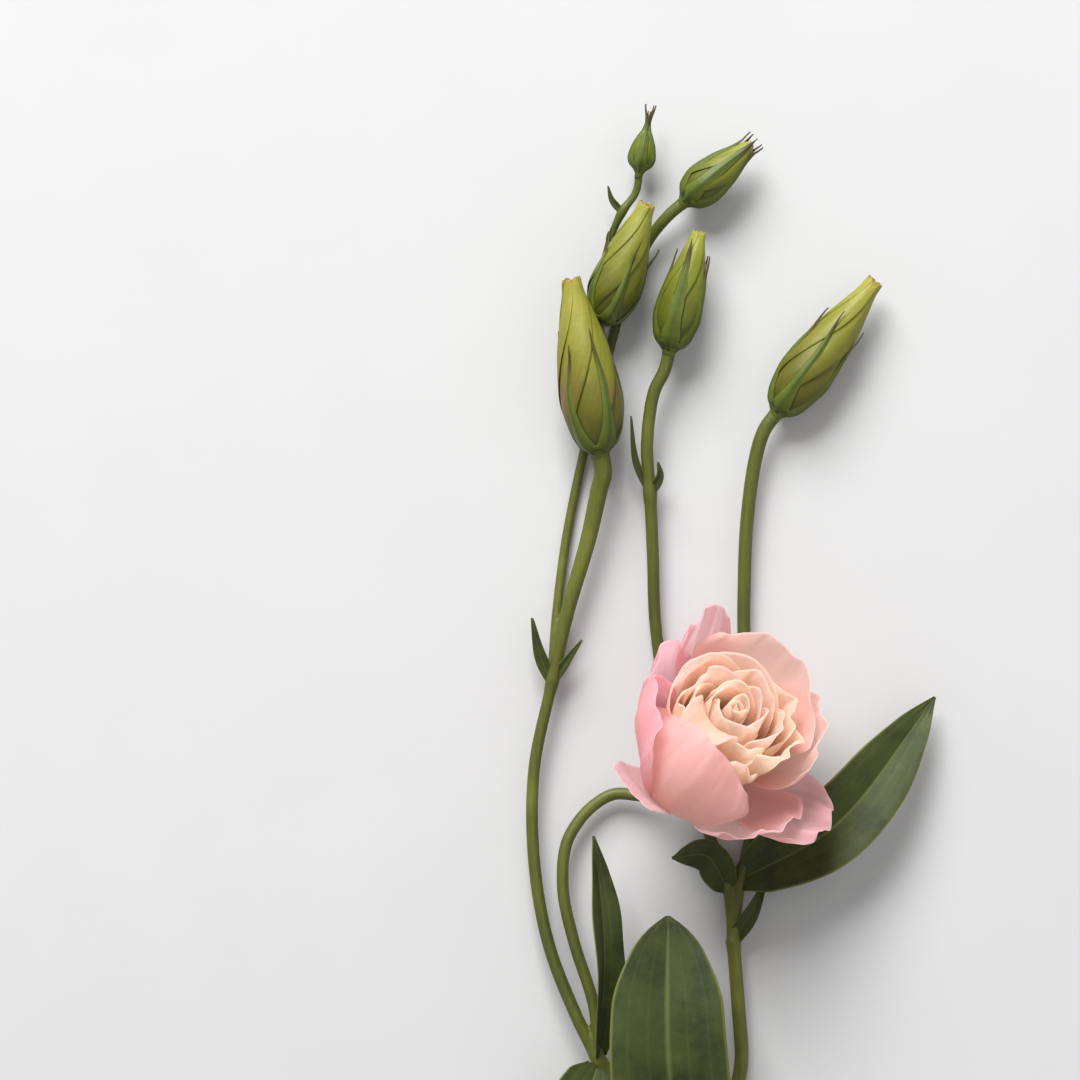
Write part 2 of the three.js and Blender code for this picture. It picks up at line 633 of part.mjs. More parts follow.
const outerSheets = OUTER_PETALS.map((petal) => sheet(petalSurface(petal), ...OUTER_PETAL_GRID, BLADE));
const ringSheets = INNER_RINGS.flatMap(({ count, petal, grid }) =>
  Array.from({ length: count }, (_, k) => sheet(petalSurface(petal(k)), ...grid, BLADE)),
);
const pairedSheets = PAIRED_PETALS.map((petal) => sheet(petalSurface(petal), ...PAIRED_PETAL_GRID, BLADE));
const receptacle = bloomLathe([[2.2, -2.4], [4.4, -0.5], [4.8, 5]], ROUND_SIDES);
const heartCore = bloomLathe([[2.4, 4], [5.5, 8], [3, 18], [1.5, 30]], CORE_SIDES);

const outerPetals = join([receptacle, ...outerSheets]).subtract(cup(CLEARANCE / 2));
const innerPetals = join([heartCore, ...ringSheets, ...pairedSheets]).intersect(cup(-CLEARANCE / 2));

// The bloom's calyx: a small cup on the stalk and narrow sepals spread behind the petals.
const BLOOM_SEPALS = 5;
const SEPAL_LENGTH = 14;

function bloomSepal(angle) {
  const rings = Array.from({ length: SEPAL_STEPS + 1 }, (_, k) => {
    const share = k / SEPAL_STEPS;
    const along = 2 + SEPAL_LENGTH * share;
    const height = -4.8 + 3.4 * share - 4.4 * share ** 3;
    const half = Math.max(0.4, 1.9 * (1 - share ** 1.5));
    const side = half / along;
    return [
      inBloom(angle - side, Math.hypot(along, half), height),
      inBloom(angle, along, height - 0.5 - 0.7 * (1 - share)),
      inBloom(angle + side, Math.hypot(along, half), height),
    ];
  });
  return loft(rings);
}

const bloomCalyx = join([
  bloomLathe([[1.7, -8.2], [2.8, -6.6], [3.6, -4.4], [3.2, -2.4 - CLEARANCE]], ROUND_SIDES),
  ...Array.from({ length: BLOOM_SEPALS }, (_, k) => bloomSepal(radians(30 + (360 * k) / BLOOM_SEPALS))),
]);

// ---------------------------------------------------------------- the whole

const BLOOM_FOOT = inBloom(0, 0, -8.2);

// All the stem's stretches and stalks, grown on all sides by extra.
function stretches(extra) {
  const stalks = [
    ...BUDS.map((bud) => ({ ...bud.stalk, end: stalkEnd(budFrame(bud).foot, budFrame(bud).axis) })),
    { ...BLOOM_STALK, end: stalkEnd(BLOOM_FOOT, BLOOM_AXIS) },
    ...STRETCHES.map((stretch) => ({ ...stretch, end: [] })),
  ];
  return stalks.map(({ points, end, radii }) => stem([...points.map(place), ...end], radii, extra));
}

const bracts = BRACTS.map((bract) =>
  sheet(leafSurface({ ...bract, fold: BRACT_FOLD }, BRACT_OUTLINE), ...BRACT_GRID, LEAF_BLADE),
);
addPiece("stem", join([...stretches(0), ...bracts]), COLOURS.stem, 0.6);

// Each leaf is cut clear of the stem and of the leaves before it.
let taken = join(stretches(CLEARANCE));
for (const leaf of LEAVES) {
  const blade = (thickness) => sheet(leafSurface(leaf, leaf.shape ?? LEAF_OUTLINE), ...LEAF_GRID, thickness);
  addPiece(leaf.name, blade(LEAF_BLADE).subtract(taken), COLOURS.leaf, 0.55);
  taken = taken.add(blade(LEAF_BLADE + 2 * CLEARANCE));
}

for (const bud of BUDS) {
  addPiece(`${bud.name}_petals`, budPetals(bud), COLOURS.bud, 0.6);
  addPiece(`${bud.name}_calyx`, budCalyx(bud), COLOURS.sepal, 0.6);
}

addPiece("bloom_outer_petals", outerPetals, COLOURS.outerPetal, 0.7);
addPiece("bloom_inner_petals", innerPetals, COLOURS.innerPetal, 0.7);
addPiece("bloom_calyx", bloomCalyx, COLOURS.sepal, 0.6);

export default group;
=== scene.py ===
"""One cut stem of a double lisianthus: an open bloom, six buds and their leaves.

It lies on a pale table and the camera looks straight down on it. Shapes are worked out in
millimetres, in the row frame, and become metres when a mesh is made.
"""

import math

import bpy
import numpy as np
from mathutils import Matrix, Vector


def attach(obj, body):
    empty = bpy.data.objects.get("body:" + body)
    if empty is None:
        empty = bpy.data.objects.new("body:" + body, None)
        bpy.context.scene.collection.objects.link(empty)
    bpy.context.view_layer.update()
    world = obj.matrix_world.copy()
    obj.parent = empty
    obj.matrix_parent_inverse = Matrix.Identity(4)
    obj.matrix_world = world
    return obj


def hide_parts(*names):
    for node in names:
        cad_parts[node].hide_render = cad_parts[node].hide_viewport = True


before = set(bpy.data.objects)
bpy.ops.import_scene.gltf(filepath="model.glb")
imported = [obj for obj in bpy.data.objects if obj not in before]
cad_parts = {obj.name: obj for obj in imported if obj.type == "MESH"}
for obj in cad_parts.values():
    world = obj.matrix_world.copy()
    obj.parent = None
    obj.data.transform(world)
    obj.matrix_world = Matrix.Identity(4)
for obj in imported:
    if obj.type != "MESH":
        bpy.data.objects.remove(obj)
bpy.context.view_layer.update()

# -------------------- the shared frame

MM = 0.001
MM_PER_PIXEL = 0.32
CAMERA_HEIGHT = 1300.0
IMAGE_SIZE = 1080
IMAGE_CENTRE = (540.0, 540.0)
ORIGIN_PIXEL = (719.0, 880.0)
SENSOR = 36.0
TINY = 1e-12  # keeps divisions from dividing by nothing


def place(point):
    """The place of what shows at a pixel of the photograph, x and y, and lies at a height."""
    x, y, height = point
    nearer = 1 - height / CAMERA_HEIGHT
    across = (x - IMAGE_CENTRE[0]) * nearer + IMAGE_CENTRE[0] - ORIGIN_PIXEL[0]
    upwards = (IMAGE_CENTRE[1] - y) * nearer + ORIGIN_PIXEL[1] - IMAGE_CENTRE[1]
    return np.array([across * MM_PER_PIXEL, upwards * MM_PER_PIXEL, height])


def unit(vectors):
    """Each of the vectors, made one long."""
    vectors = np.asarray(vectors, float)
    return vectors / (np.linalg.norm(vectors, axis=-1, keepdims=True) + TINY)


def smooth(x, low, high):
    """Rises smoothly from 0 at low to 1 at high."""
    t = np.clip((x - low) / (high - low), 0, 1)
    return t * t * (3 - 2 * t)


def hump(x, centre, width):
    """Rises to 1 at centre and falls off on both sides."""
    return np.exp(-(((x - centre) / width) ** 2))


def outline(points, t):
    """A value along an outline of (position, value) points, on a smooth curve through them."""
    at, value = np.array(points, float).T
    slope = np.diff(value) / np.diff(at)
    product = slope[:-1] * slope[1:]
    tangent = np.empty(len(at))
    tangent[0], tangent[-1] = slope[0], slope[-1]
    tangent[1:-1] = np.where(product > 0, 2 * product / (slope[:-1] + slope[1:] + TINY), 0)
    t = np.clip(t, at[0], at[-1])
    k = np.clip(np.searchsorted(at, t) - 1, 0, len(at) - 2)
    span = at[k + 1] - at[k]
    s = (t - at[k]) / span
    rise = (1 + 2 * s) * (1 - s) ** 2 * value[k] + s * s * (3 - 2 * s) * value[k + 1]
    return rise + span * s * (1 - s) * ((1 - s) * tangent[k] - s * tangent[k + 1])


CURVE_STEPS = 24  # from one given point to the next


def curve(points, count):
    """count points evenly along a smooth centripetal line through points."""
    p = np.array(points, float)
    p = np.concatenate([[2 * p[0] - p[1]], p, [2 * p[-1] - p[-2]]])
    t = np.linspace(0, 1, CURVE_STEPS, endpoint=False)[:, None]
    line = []
    for a, b, c, d in zip(p, p[1:], p[2:], p[3:]):
        t0, t1, t2 = (math.sqrt(np.linalg.norm(e)) for e in (b - a, c - b, d - c))
        leave = ((b - a) / t0 - (c - a) / (t0 + t1) + (c - b) / t1) * t1
        arrive = ((c - b) / t1 - (d - b) / (t1 + t2) + (d - c) / t2) * t1
        line.append(
            (2 * t**3 - 3 * t**2 + 1) * b + (3 * t**2 - 2 * t**3) * c
            + (t**3 - 2 * t**2 + t) * leave + (t**3 - t**2) * arrive
        )
    line = np.concatenate(line + [p[-2:-1]])
    reach = np.concatenate([[0], np.cumsum(np.linalg.norm(np.diff(line, axis=0), axis=1))])
    wanted = np.linspace(0, reach[-1], count)
    return np.stack([np.interp(wanted, reach, line[:, k]) for k in range(3)], -1)


def length_of(points):
    """The length of a line of points."""
    return float(np.sum(np.linalg.norm(np.diff(points, axis=0), axis=1)))


# -------------------- meshes


class Shape:
    """Vertices, faces and the shape coordinates that the materials read."""

    def __init__(self):
        self.vertices, self.faces, self.coordinates, self.seeds = [], [], [], []
        self.count = 0

    def add(self, vertices, faces, coordinates, seed):
        vertices = np.asarray(vertices, float).reshape(-1, 3)
        self.faces += [tuple(i + self.count for i in face) for face in faces]
        self.vertices.append(vertices)
        self.coordinates.append(np.asarray(coordinates, float).reshape(-1, 2))
        self.seeds.append(np.full(len(vertices), seed))
        self.count += len(vertices)

    def build(self, name):
        """The object, in metres. u and v are kept as the attribute "shape", seed as "seed"."""
        mesh = bpy.data.meshes.new(name)
        vertices = np.concatenate(self.vertices)
        vertices[:, 2] = np.maximum(vertices[:, 2], 0)  # nothing goes into the table
        mesh.from_pydata((vertices * MM).tolist(), [], self.faces)
        mesh.update()
        shape = mesh.attributes.new("shape", "FLOAT_VECTOR", "POINT")
        flat = np.concatenate([np.concatenate(self.coordinates), np.zeros((self.count, 1))], 1)
        shape.data.foreach_set("vector", flat.ravel())
        seed = mesh.attributes.new("seed", "FLOAT", "POINT")
        seed.data.foreach_set("value", np.concatenate(self.seeds))
        mesh.shade_smooth()
        made = bpy.data.objects.new(name, mesh)
        bpy.context.scene.collection.objects.link(made)
        return made


SLOPE_STEP = 0.004  # how far to each side, in u and v, the slope of a surface is taken
LOFT_SEED = 0.5


def thinning(middle, edge=0.0, end=0.0, power=1):
    """A thickness that falls from middle by edge towards the sides and by end towards the end."""
    return lambda u, v: middle - edge * np.abs(u) ** power - end * v


def sheet(shape, surface, grid, thickness, seed):
    """A closed thick sheet over surface(u, v), with u from -1 to 1 across and v along it.
    grid is its number of faces across and along, and thickness is a function of u and v."""
    across, along = grid
    u, v = np.meshgrid(np.linspace(-1, 1, across + 1), np.linspace(0, 1, along + 1))
    middle = surface(u, v)
    over_u = surface(u + SLOPE_STEP, v) - surface(u - SLOPE_STEP, v)
    over_v = surface(u, v + SLOPE_STEP) - surface(u, v - SLOPE_STEP)
    normal = unit(np.cross(over_u, over_v)) * thickness(u, v)[..., None] / 2
    front, back = middle + normal, middle - normal
    n = (across + 1) * (along + 1)

    faces = []

    def at(i, j):
        return j * (across + 1) + i

    def rim(a, b):
        faces.append((a, b, n + b, n + a))

    for j in range(along):
        for i in range(across):
            a, b, c, d = at(i, j), at(i + 1, j), at(i + 1, j + 1), at(i, j + 1)
            faces += [(a, b, c, d), (n + a, n + d, n + c, n + b)]
    for i in range(across):
        rim(at(i + 1, 0), at(i, 0))
        rim(at(i, along), at(i + 1, along))
    for j in range(along):
        rim(at(0, j), at(0, j + 1))
        rim(at(across, j + 1), at(across, j))
    both = np.concatenate([front.reshape(-1, 3), back.reshape(-1, 3)])
    shown = np.stack([(u + 1) / 2, v], -1).reshape(-1, 2)
    shape.add(both, faces, np.concatenate([shown, shown]), seed)


def loft(shape, rings, along):
    """A closed skin over rings of equally many points; along gives each ring's v."""
    rings = np.asarray(rings, float)
    count, sides = rings.shape[:2]
    faces = []
    for j in range(count - 1):
        for i in range(sides):
            a, b = j * sides + i, j * sides + (i + 1) % sides
            faces.append((a, b, b + sides, a + sides))
    first = count * sides
    faces += [(first, (i + 1) % sides, i) for i in range(sides)]
    top = (count - 1) * sides
    faces += [(first + 1, top + i, top + (i + 1) % sides) for i in range(sides)]
    u, v = np.meshgrid(np.arange(sides) / sides, along)
    vertices = np.concatenate([rings.reshape(-1, 3), [rings[0].mean(0), rings[-1].mean(0)]])
    ends = [[0.5, along[0]], [0.5, along[-1]]]
    shown = np.concatenate([np.stack([u, v], -1).reshape(-1, 2), ends])
    shape.add(vertices, faces, shown, LOFT_SEED)


def baked(made, *modifiers):
    """Applies modifiers, each given as (kind, settings), to the mesh."""
    for kind, settings in modifiers:
        modifier = made.modifiers.new(kind, kind)
        for key, value in settings.items():
            setattr(modifier, key, value)
    bpy.context.view_layer.update()
    result = made.evaluated_get(bpy.context.evaluated_depsgraph_get())
    old, made.data = made.data, bpy.data.meshes.new_from_object(result)
    made.modifiers.clear()
    bpy.data.meshes.remove(old)
    made.data.shade_smooth()
    return made


def finish_piece(made, node, material):
    """Rides on the one body, stands for its CAD node and takes its material."""
    made.data.materials.clear()
    made.data.materials.append(material)
    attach(made, "root")
    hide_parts(node)


# -------------------- materials


def colour(red, green, blue):
    """A colour as it shows on a screen, as Blender's linear values."""
    channel = [c / 255 for c in (red, green, blue)]
    linear = [c / 12.92 if c <= 0.04045 else ((c + 0.055) / 1.055) ** 2.4 for c in channel]
    return (*linear, 1)


# The sockets of a Mix node that mixes colours.
MIX_SHARE, MIX_FIRST, MIX_SECOND, MIX_RESULT = 0, 6, 7, 2


class Finish:
    """A material that is put together from a few kinds of node."""

    def __init__(self, name, **constants):
        self.material = bpy.data.materials.new(name)
        self.material.use_nodes = True
        self.tree = self.material.node_tree
        self.shader = self.tree.nodes["Principled BSDF"]
        for key, value in constants.items():
            self.shader.inputs[key.replace("_", " ")].default_value = value
        axes = self.node("ShaderNodeSeparateXYZ", Vector=self.attribute("shape", "Vector"))
        self.u, self.v = axes.outputs["X"], axes.outputs["Y"]
        self.seed = self.attribute("seed", "Fac")

    def node(self, kind, settings=None, **inputs):
        made = self.tree.nodes.new(kind)
        for key, value in (settings or {}).items():
            setattr(made, key, value)
        for key, value in inputs.items():
            self.set(made.inputs[key.replace("_", " ")], value)
        return made

    def set(self, socket, value):
        if isinstance(value, bpy.types.NodeSocket):
            self.tree.links.new(value, socket)
        else:
            socket.default_value = value

    def attribute(self, name, output):
        return self.node("ShaderNodeAttribute", {"attribute_name": name}).outputs[output]

    def math(self, operation, first, second=0.0):
        made = self.node("ShaderNodeMath", {"operation": operation})
        self.set(made.inputs[0], first)
        self.set(made.inputs[1], second)
        return made.outputs[0]

    def vector(self, x, y, z):
        return self.node("ShaderNodeCombineXYZ", X=x, Y=y, Z=z).outputs[0]

    def noise(self, vector, scale, detail=3.0, roughness=0.5):
        made = self.node(
            "ShaderNodeTexNoise", Vector=vector, Scale=scale, Detail=detail, Roughness=roughness
        )
        return made.outputs["Fac"]

    def ramp(self, value, stops):
        """A smooth run of values or colours over [(position, colour), ...]."""
        made = self.node("ShaderNodeValToRGB", Fac=value)
        ramp = made.color_ramp
        ramp.interpolation = "EASE"
        while len(ramp.elements) < len(stops):
            ramp.elements.new(0.5)
        for element, (position, shade) in zip(ramp.elements, stops):
            element.position = position
            element.color = shade if isinstance(shade, tuple) else (shade, shade, shade, 1)
        return made.outputs[0]

    def mix(self, share, first, second, blend="MIX"):
        made = self.node("ShaderNodeMix", {"data_type": "RGBA", "blend_type": blend})
        self.set(made.inputs[MIX_SHARE], share)
        self.set(made.inputs[MIX_FIRST], first)
        self.set(made.inputs[MIX_SECOND], second)
        return made.outputs[MIX_RESULT]

    def tinted(self, share, base, pattern, low, high):
        """A share of base times tints along a pattern, from low to high as (value, tint)."""
        return self.mix(share, base, self.ramp(pattern, [low, high]), "MULTIPLY")

    def paint(self, base):
        self.set(self.shader.inputs["Base Color"], base)

    def bump(self, height, strength, distance):
        """Adds a bump in metres on top of those there already."""
        made = self.node("ShaderNodeBump", Strength=strength, Distance=distance, Height=height)
        before = self.shader.inputs["Normal"]
        if before.is_linked:
            self.tree.links.new(before.links[0].from_socket, made.inputs["Normal"])
        self.tree.links.new(made.outputs[0], before)

    def let_through(self, share, shade):
        """Lets a share of the light through the surface, tinted by shade."""
        through = self.node("ShaderNodeBsdfTranslucent", Color=shade)
        both = self.node("ShaderNodeMixShader", Fac=share)
        self.tree.links.new(self.shader.outputs[0], both.inputs[1])
        self.tree.links.new(through.outputs[0], both.inputs[2])
        output = self.tree.nodes["Material Output"]
        self.tree.links.new(both.outputs[0], output.inputs["Surface"])

    def edge(self):
        """How far from the middle line of a sheet, from 0 to 1."""
        return self.math("ABSOLUTE", self.math("SUBTRACT", self.math("MULTIPLY", self.u, 2.0), 1.0))

    def spot(self):
        """The place on the object, in millimetres."""
        metres = self.node("ShaderNodeTexCoord").outputs["Object"]
        scaled = self.node("ShaderNodeVectorMath", {"operation": "SCALE"}, Vector=metres, Scale=1 / MM)
        return scaled.outputs[0]

    def fan(self, across, along, apart):
        """Coordinates for veins that run up from a foot, shifted from seed to seed by apart."""
        shares = ((self.u, across), (self.v, along), (self.seed, apart))
        return self.vector(*(self.math("MULTIPLY", value, factor) for value, factor in shares))

    def uneven(self, value, pattern, amount):
        """A value that a pattern from 0 to 1 moves up and down, by half of amount each way."""
        return self.math("ADD", value, self.math("MULTIPLY", self.math("SUBTRACT", pattern, 0.5), amount))


GLOW = 0.74  # the share of the light on a petal that goes on through it


def petal_finish(name, foot, lower, upper, rim, pink, through, pink_through):
    """A thin, softly glowing petal with fine veins that fan out from its foot. The attribute
    seed says how far its upper part turns from peach to pink. through and pink_through are
    what it makes of the light that goes through it."""
    f = Finish(name, Roughness=0.55, Specular_IOR_Level=0.3)
    veins = f.noise(f.fan(across=42.0, along=2.6, apart=19.0), scale=1.0, detail=5.0, roughness=0.65)
    reach = f.uneven(f.v, f.noise(f.spot(), scale=0.11, detail=2.0), 0.5)
    base = f.ramp(reach, [(0.0, foot), (0.3, lower), (0.68, upper), (0.98, rim)])
    high = f.ramp(f.math("MAXIMUM", reach, f.edge()), [(0.35, 0.0), (0.95, 1.0)])
    base = f.mix(f.math("MULTIPLY", high, f.seed), base, pink)
    f.paint(f.tinted(0.7, base, veins, (0.35, (0.94, 0.84, 0.85, 1)), (0.62, (1.0, 1.0, 1.0, 1))))
    f.bump(veins, strength=0.5, distance=0.0004)
    f.bump(f.noise(f.spot(), scale=0.45), strength=0.3, distance=0.0007)
    f.let_through(GLOW, f.mix(f.seed, through, pink_through))
    return f.material


def leaf_finish():
    """Matt blue-green blades with pale veins and a thin yellow-green margin."""
    f = Finish("leaf", Roughness=0.58, Specular_IOR_Level=0.3)
    mottle = f.noise(f.spot(), scale=0.09, detail=4.0, roughness=0.6)
    base = f.ramp(mottle, [
        (0.3, colour(40, 49, 18)), (0.55, colour(56, 65, 25)), (0.8, colour(76, 82, 33)),
    ])
    edge = f.edge()
    rib = f.ramp(edge, [(0.0, 1.0), (0.035, 0.5), (0.075, 0.0)])
    base = f.mix(f.math("MULTIPLY", rib, 0.45), base, colour(114, 121, 66))
    veins = f.ramp(edge, [(0.3, 0.0), (0.345, 1.0), (0.39, 0.0), (0.66, 0.0), (0.7, 0.8), (0.74, 0.0)])
    base = f.mix(f.math("MULTIPLY", veins, 0.12), base, colour(98, 105, 56))
    margin = f.ramp(edge, [(0.94, 0.0), (0.985, 0.75)])
    f.paint(f.mix(margin, base, colour(108, 113, 46)))
    grain = f.noise(f.spot(), scale=0.9, detail=4.0, roughness=0.65)
    f.bump(grain, strength=0.3, distance=0.0003)
    return f.material


def stem_finish():
    """Olive-green stalks with fine streaks along them."""
    f = Finish("stem", Roughness=0.48, Specular_IOR_Level=0.4)
    drawn_out = f.node("ShaderNodeVectorMath", {"operation": "MULTIPLY"}, Vector=f.spot())
    drawn_out.inputs[1].default_value = (1.6, 0.09, 1.6)
    streaks = f.noise(drawn_out.outputs[0], scale=1.0, detail=4.0, roughness=0.6)
    patches = f.noise(f.spot(), scale=0.025, roughness=0.6)
    base = f.ramp(patches, [
        (0.3, colour(68, 74, 20)), (0.5, colour(82, 88, 26)), (0.72, colour(102, 106, 36)),
    ])
    f.paint(f.tinted(0.8, base, streaks, (0.35, (0.78, 0.8, 0.72, 1)), (0.65, (1.06, 1.06, 1.0, 1))))
    f.bump(streaks, strength=0.35, distance=0.0003)
    return f.material


def bud_finish():
    """Furled petals, olive below and pale yellow at the mouth, with slanting veins. Their steep darkening
    towards the foot is partly the bud's own green and partly painted shade on its lower part. The
    attribute seed is a bud's age, from 0, all green, to 1, yellow with a brown flush."""
    f = Finish("bud_petal", Roughness=0.5, Specular_IOR_Level=0.4)
    along = f.uneven(f.v, f.noise(f.spot(), scale=0.12), 0.3)
    # Both ramps grow much darker towards the foot: partly the bud's own colour, partly painted shade on
    # its lower part.
    young = f.ramp(along, [
        (0.0, colour(50, 62, 6)), (0.3, colour(76, 88, 10)), (0.65, colour(106, 114, 22)),
        (1.0, colour(138, 142, 44)),
    ])
    old = f.ramp(along, [
        (0.0, colour(66, 68, 6)), (0.25, colour(96, 94, 18)), (0.6, colour(128, 126, 38)),
        (0.9, colour(145, 141, 54)), (1.0, colour(158, 150, 60)),
    ])
    base = f.mix(f.seed, young, old)
    blush = f.ramp(f.noise(f.spot(), scale=0.07, detail=2.0), [(0.45, 0.0), (0.7, 0.7)])
    low = f.ramp(f.v, [(0.1, 0.0), (0.3, 1.0), (0.65, 0.0)])
    ripe = f.ramp(f.seed, [(0.6, 0.0), (1.0, 1.0)])
    base = f.mix(f.math("MULTIPLY", f.math("MULTIPLY", blush, low), ripe), base, colour(122, 84, 48))
    withered = f.math("MULTIPLY", f.ramp(f.v, [(0.975, 0.0), (1.0, 0.8)]), f.seed)
    base = f.mix(withered, base, colour(136, 100, 50))
    veins = f.noise(f.fan(across=15.0, along=2.4, apart=13.0), scale=1.0, roughness=0.6)
    f.paint(f.tinted(0.75, base, veins, (0.38, (0.84, 0.88, 0.8, 1)), (0.62, (1.04, 1.03, 1.0, 1))))
    f.bump(veins, strength=0.3, distance=0.0003)
    f.bump(f.noise(f.spot(), scale=0.4), strength=0.3, distance=0.0005)
    return f.material


def sepal_finish():
    """Green sepals with a darker margin and brown, withered points."""
    f = Finish("sepal", Roughness=0.5, Specular_IOR_Level=0.4)
    grain = f.noise(f.spot(), scale=0.5, detail=4.0, roughness=0.6)
    base = f.ramp(f.edge(), [
        (0.0, colour(68, 82, 26)), (0.35, colour(84, 96, 24)), (0.8, colour(94, 104, 26)),
        (1.0, colour(50, 58, 20)),
    ])
    brown = f.ramp(f.uneven(f.v, grain, 0.25), [(0.66, 0.0), (0.95, 1.0)])
    base = f.mix(brown, base, colour(76, 62, 40))
    f.paint(f.tinted(0.7, base, grain, (0.3, (0.82, 0.84, 0.8, 1)), (0.7, (1.05, 1.05, 1.0, 1))))
    f.bump(grain, strength=0.3, distance=0.0003)
    return f.material


LEAF = leaf_finish()
STEM = stem_finish()
BUD = bud_finish()
SEPAL = sepal_finish()
OUTER_PETAL = petal_finish(
    "outer_petal",
    foot=colour(236, 232, 180),
    lower=colour(255, 230, 214),
    upper=colour(254, 226, 216),
    rim=colour(252, 222, 218),
    pink=colour(252, 188, 203),
    through=(1.0, 0.86, 0.8, 1),
    pink_through=(1.0, 0.82, 0.86, 1),
)
INNER_PETAL = petal_finish(
    "inner_petal",
    foot=colour(255, 226, 150),
    lower=colour(255, 232, 192),
    upper=colour(255, 236, 214),
    rim=colour(255, 240, 232),
    pink=colour(255, 222, 222),
    through=(1.0, 0.905, 0.785, 1),
    pink_through=(1.0, 0.88, 0.85, 1),
)

# -------------------- stems

# Each place is x and y in the photograph's pixels and a height above the table in millimetres.
CUT_END = [694, 1655, 2.3]
FOOT_NODE = [690, 1550, 2.9]
MIDDLE_NODE = [684, 1392, 5]
LOW_NODE = [680, 1195, 8]
LEFT_NODE = [598, 1060, 11]
RIGHT_NODE = [733, 940, 6]
BUD_NODE = [552, 682, 7]
TRIPLE_NODE = [596, 402, 1.3]
INNER_NODE = [650, 493, 7]
HIGH_NODE = [622, 212, 7]
TUBE_SIDES = 20
TUBE_STEP = 1.2
FEWEST_RINGS = 8
MEASURING_POINTS = 60
RIDGES = 5
RIDGE_SHARE = 0.025  # how high the ridges are, as a share of the radius
VOXEL = 0.45  # the stem gets one skin of faces this large

STRETCHES = [
    dict(points=[CUT_END, FOOT_NODE, MIDDLE_NODE, [681, 1300, 7], LOW_NODE], radii=[3.1, 2.8]),
    dict(points=[LOW_NODE, [650, 1130, 10], LEFT_NODE], radii=[2.5, 2.3]),
    dict(points=[LOW_NODE, [704, 1150, 7.5], [730, 1105, 6.5], [741, 1065, 6], [738, 1004, 6],
                 RIGHT_NODE], radii=[2.4, 2.2]),
    dict(points=[LEFT_NODE, [574, 1011, 10], [548, 942, 8], [534, 860, 6.5], [534, 770, 6.5],
                 BUD_NODE], radii=[2.1, 1.9]),
    dict(points=[BUD_NODE, [556, 620, 4.5], [566, 540, 2.4], [582, 460, 1.5], TRIPLE_NODE],
         radii=[1.6, 1.5]),
]
BLOOM_STALK = dict(
    points=[
        LEFT_NODE, [594, 1007, 11], [574, 942, 9.5], [563, 890, 8], [566, 845, 6.5], [578, 822, 5.5],
        [594, 805, 5], [614, 794, 5], [636, 795, 5.5], [657, 797, 7.5],
    ],
    radii=[1.9, 2],
)
NODES = [
    FOOT_NODE, MIDDLE_NODE, LOW_NODE, LEFT_NODE, RIGHT_NODE, BUD_NODE, TRIPLE_NODE, INNER_NODE, HIGH_NODE,
]
NODE_SWELL = 0.35
SWELL_REACH = 2.6
STALK_LEAD = 6  # a stalk runs straight towards its calyx over this length
STALK_HOLD = 1.2  # and goes into it by this much


def stalk_end(foot, axis):
    """The last points of a stalk that ends in a calyx."""
    return [foot - axis * STALK_LEAD, foot + axis * STALK_HOLD]


def tube(shape, points, radii):
    """A stalk through points, a little swollen at the nodes and faintly ridged."""
    count = max(FEWEST_RINGS, round(length_of(curve(points, MEASURING_POINTS)) / TUBE_STEP))
    line = curve(points, count)
    tangent = unit(np.gradient(line, axis=0))
    side = unit(np.cross(tangent[0], [0, 0, 1]))
    swell = sum(hump(np.linalg.norm(line - place(node), axis=1), 0, SWELL_REACH) for node in NODES)
    radius = np.linspace(*radii, count) + NODE_SWELL * np.minimum(swell, 1)
    angles = np.linspace(0, 2 * math.pi, TUBE_SIDES, endpoint=False)
    rings = []
    for k in range(count):
        side = unit(side - tangent[k] * np.dot(side, tangent[k]))
        other = np.cross(tangent[k], side)
        ridged = radius[k] * (1 + RIDGE_SHARE * np.cos(RIDGES * angles))
        around = np.cos(angles)[:, None] * side + np.sin(angles)[:, None] * other
        rings.append(line[k] + ridged[:, None] * around)
    loft(shape, rings, np.linspace(0, 1, count))


# -------------------- leaves

LEAF_OUTLINE = [(0, 0.3), (0.12, 0.74), (0.36, 1), (0.62, 0.9), (0.85, 0.5), (1, 0.035)]
BLUNT_OUTLINE = [(0, 0.3), (0.12, 0.7), (0.4, 1), (0.68, 0.94), (0.88, 0.6), (0.96, 0.3), (1, 0.035)]
BRACT_OUTLINE = [(0, 0.8), (0.3, 1), (0.7, 0.6), (1, 0.2)]
LINE_POINTS = 200
LEAF_GRID = (28, 44)
BRACT_GRID = (10, 18)
BRACT_FOLD = 22  # how far each half of a bract is folded up, in degrees
BRACT_SEED_STEP = 0.2
RIB = 1.3  # half the width of the rounded fold along a leaf's middle
ARCH = 0.05  # how far each half arches from rib to margin, as a share of the width
GROOVE_DEPTH = 0.32
GROOVE_WIDTH = 0.7
VEIN_DEPTH = 0.09
VEINED_WIDTH = 8  # narrower leaves show no side veins


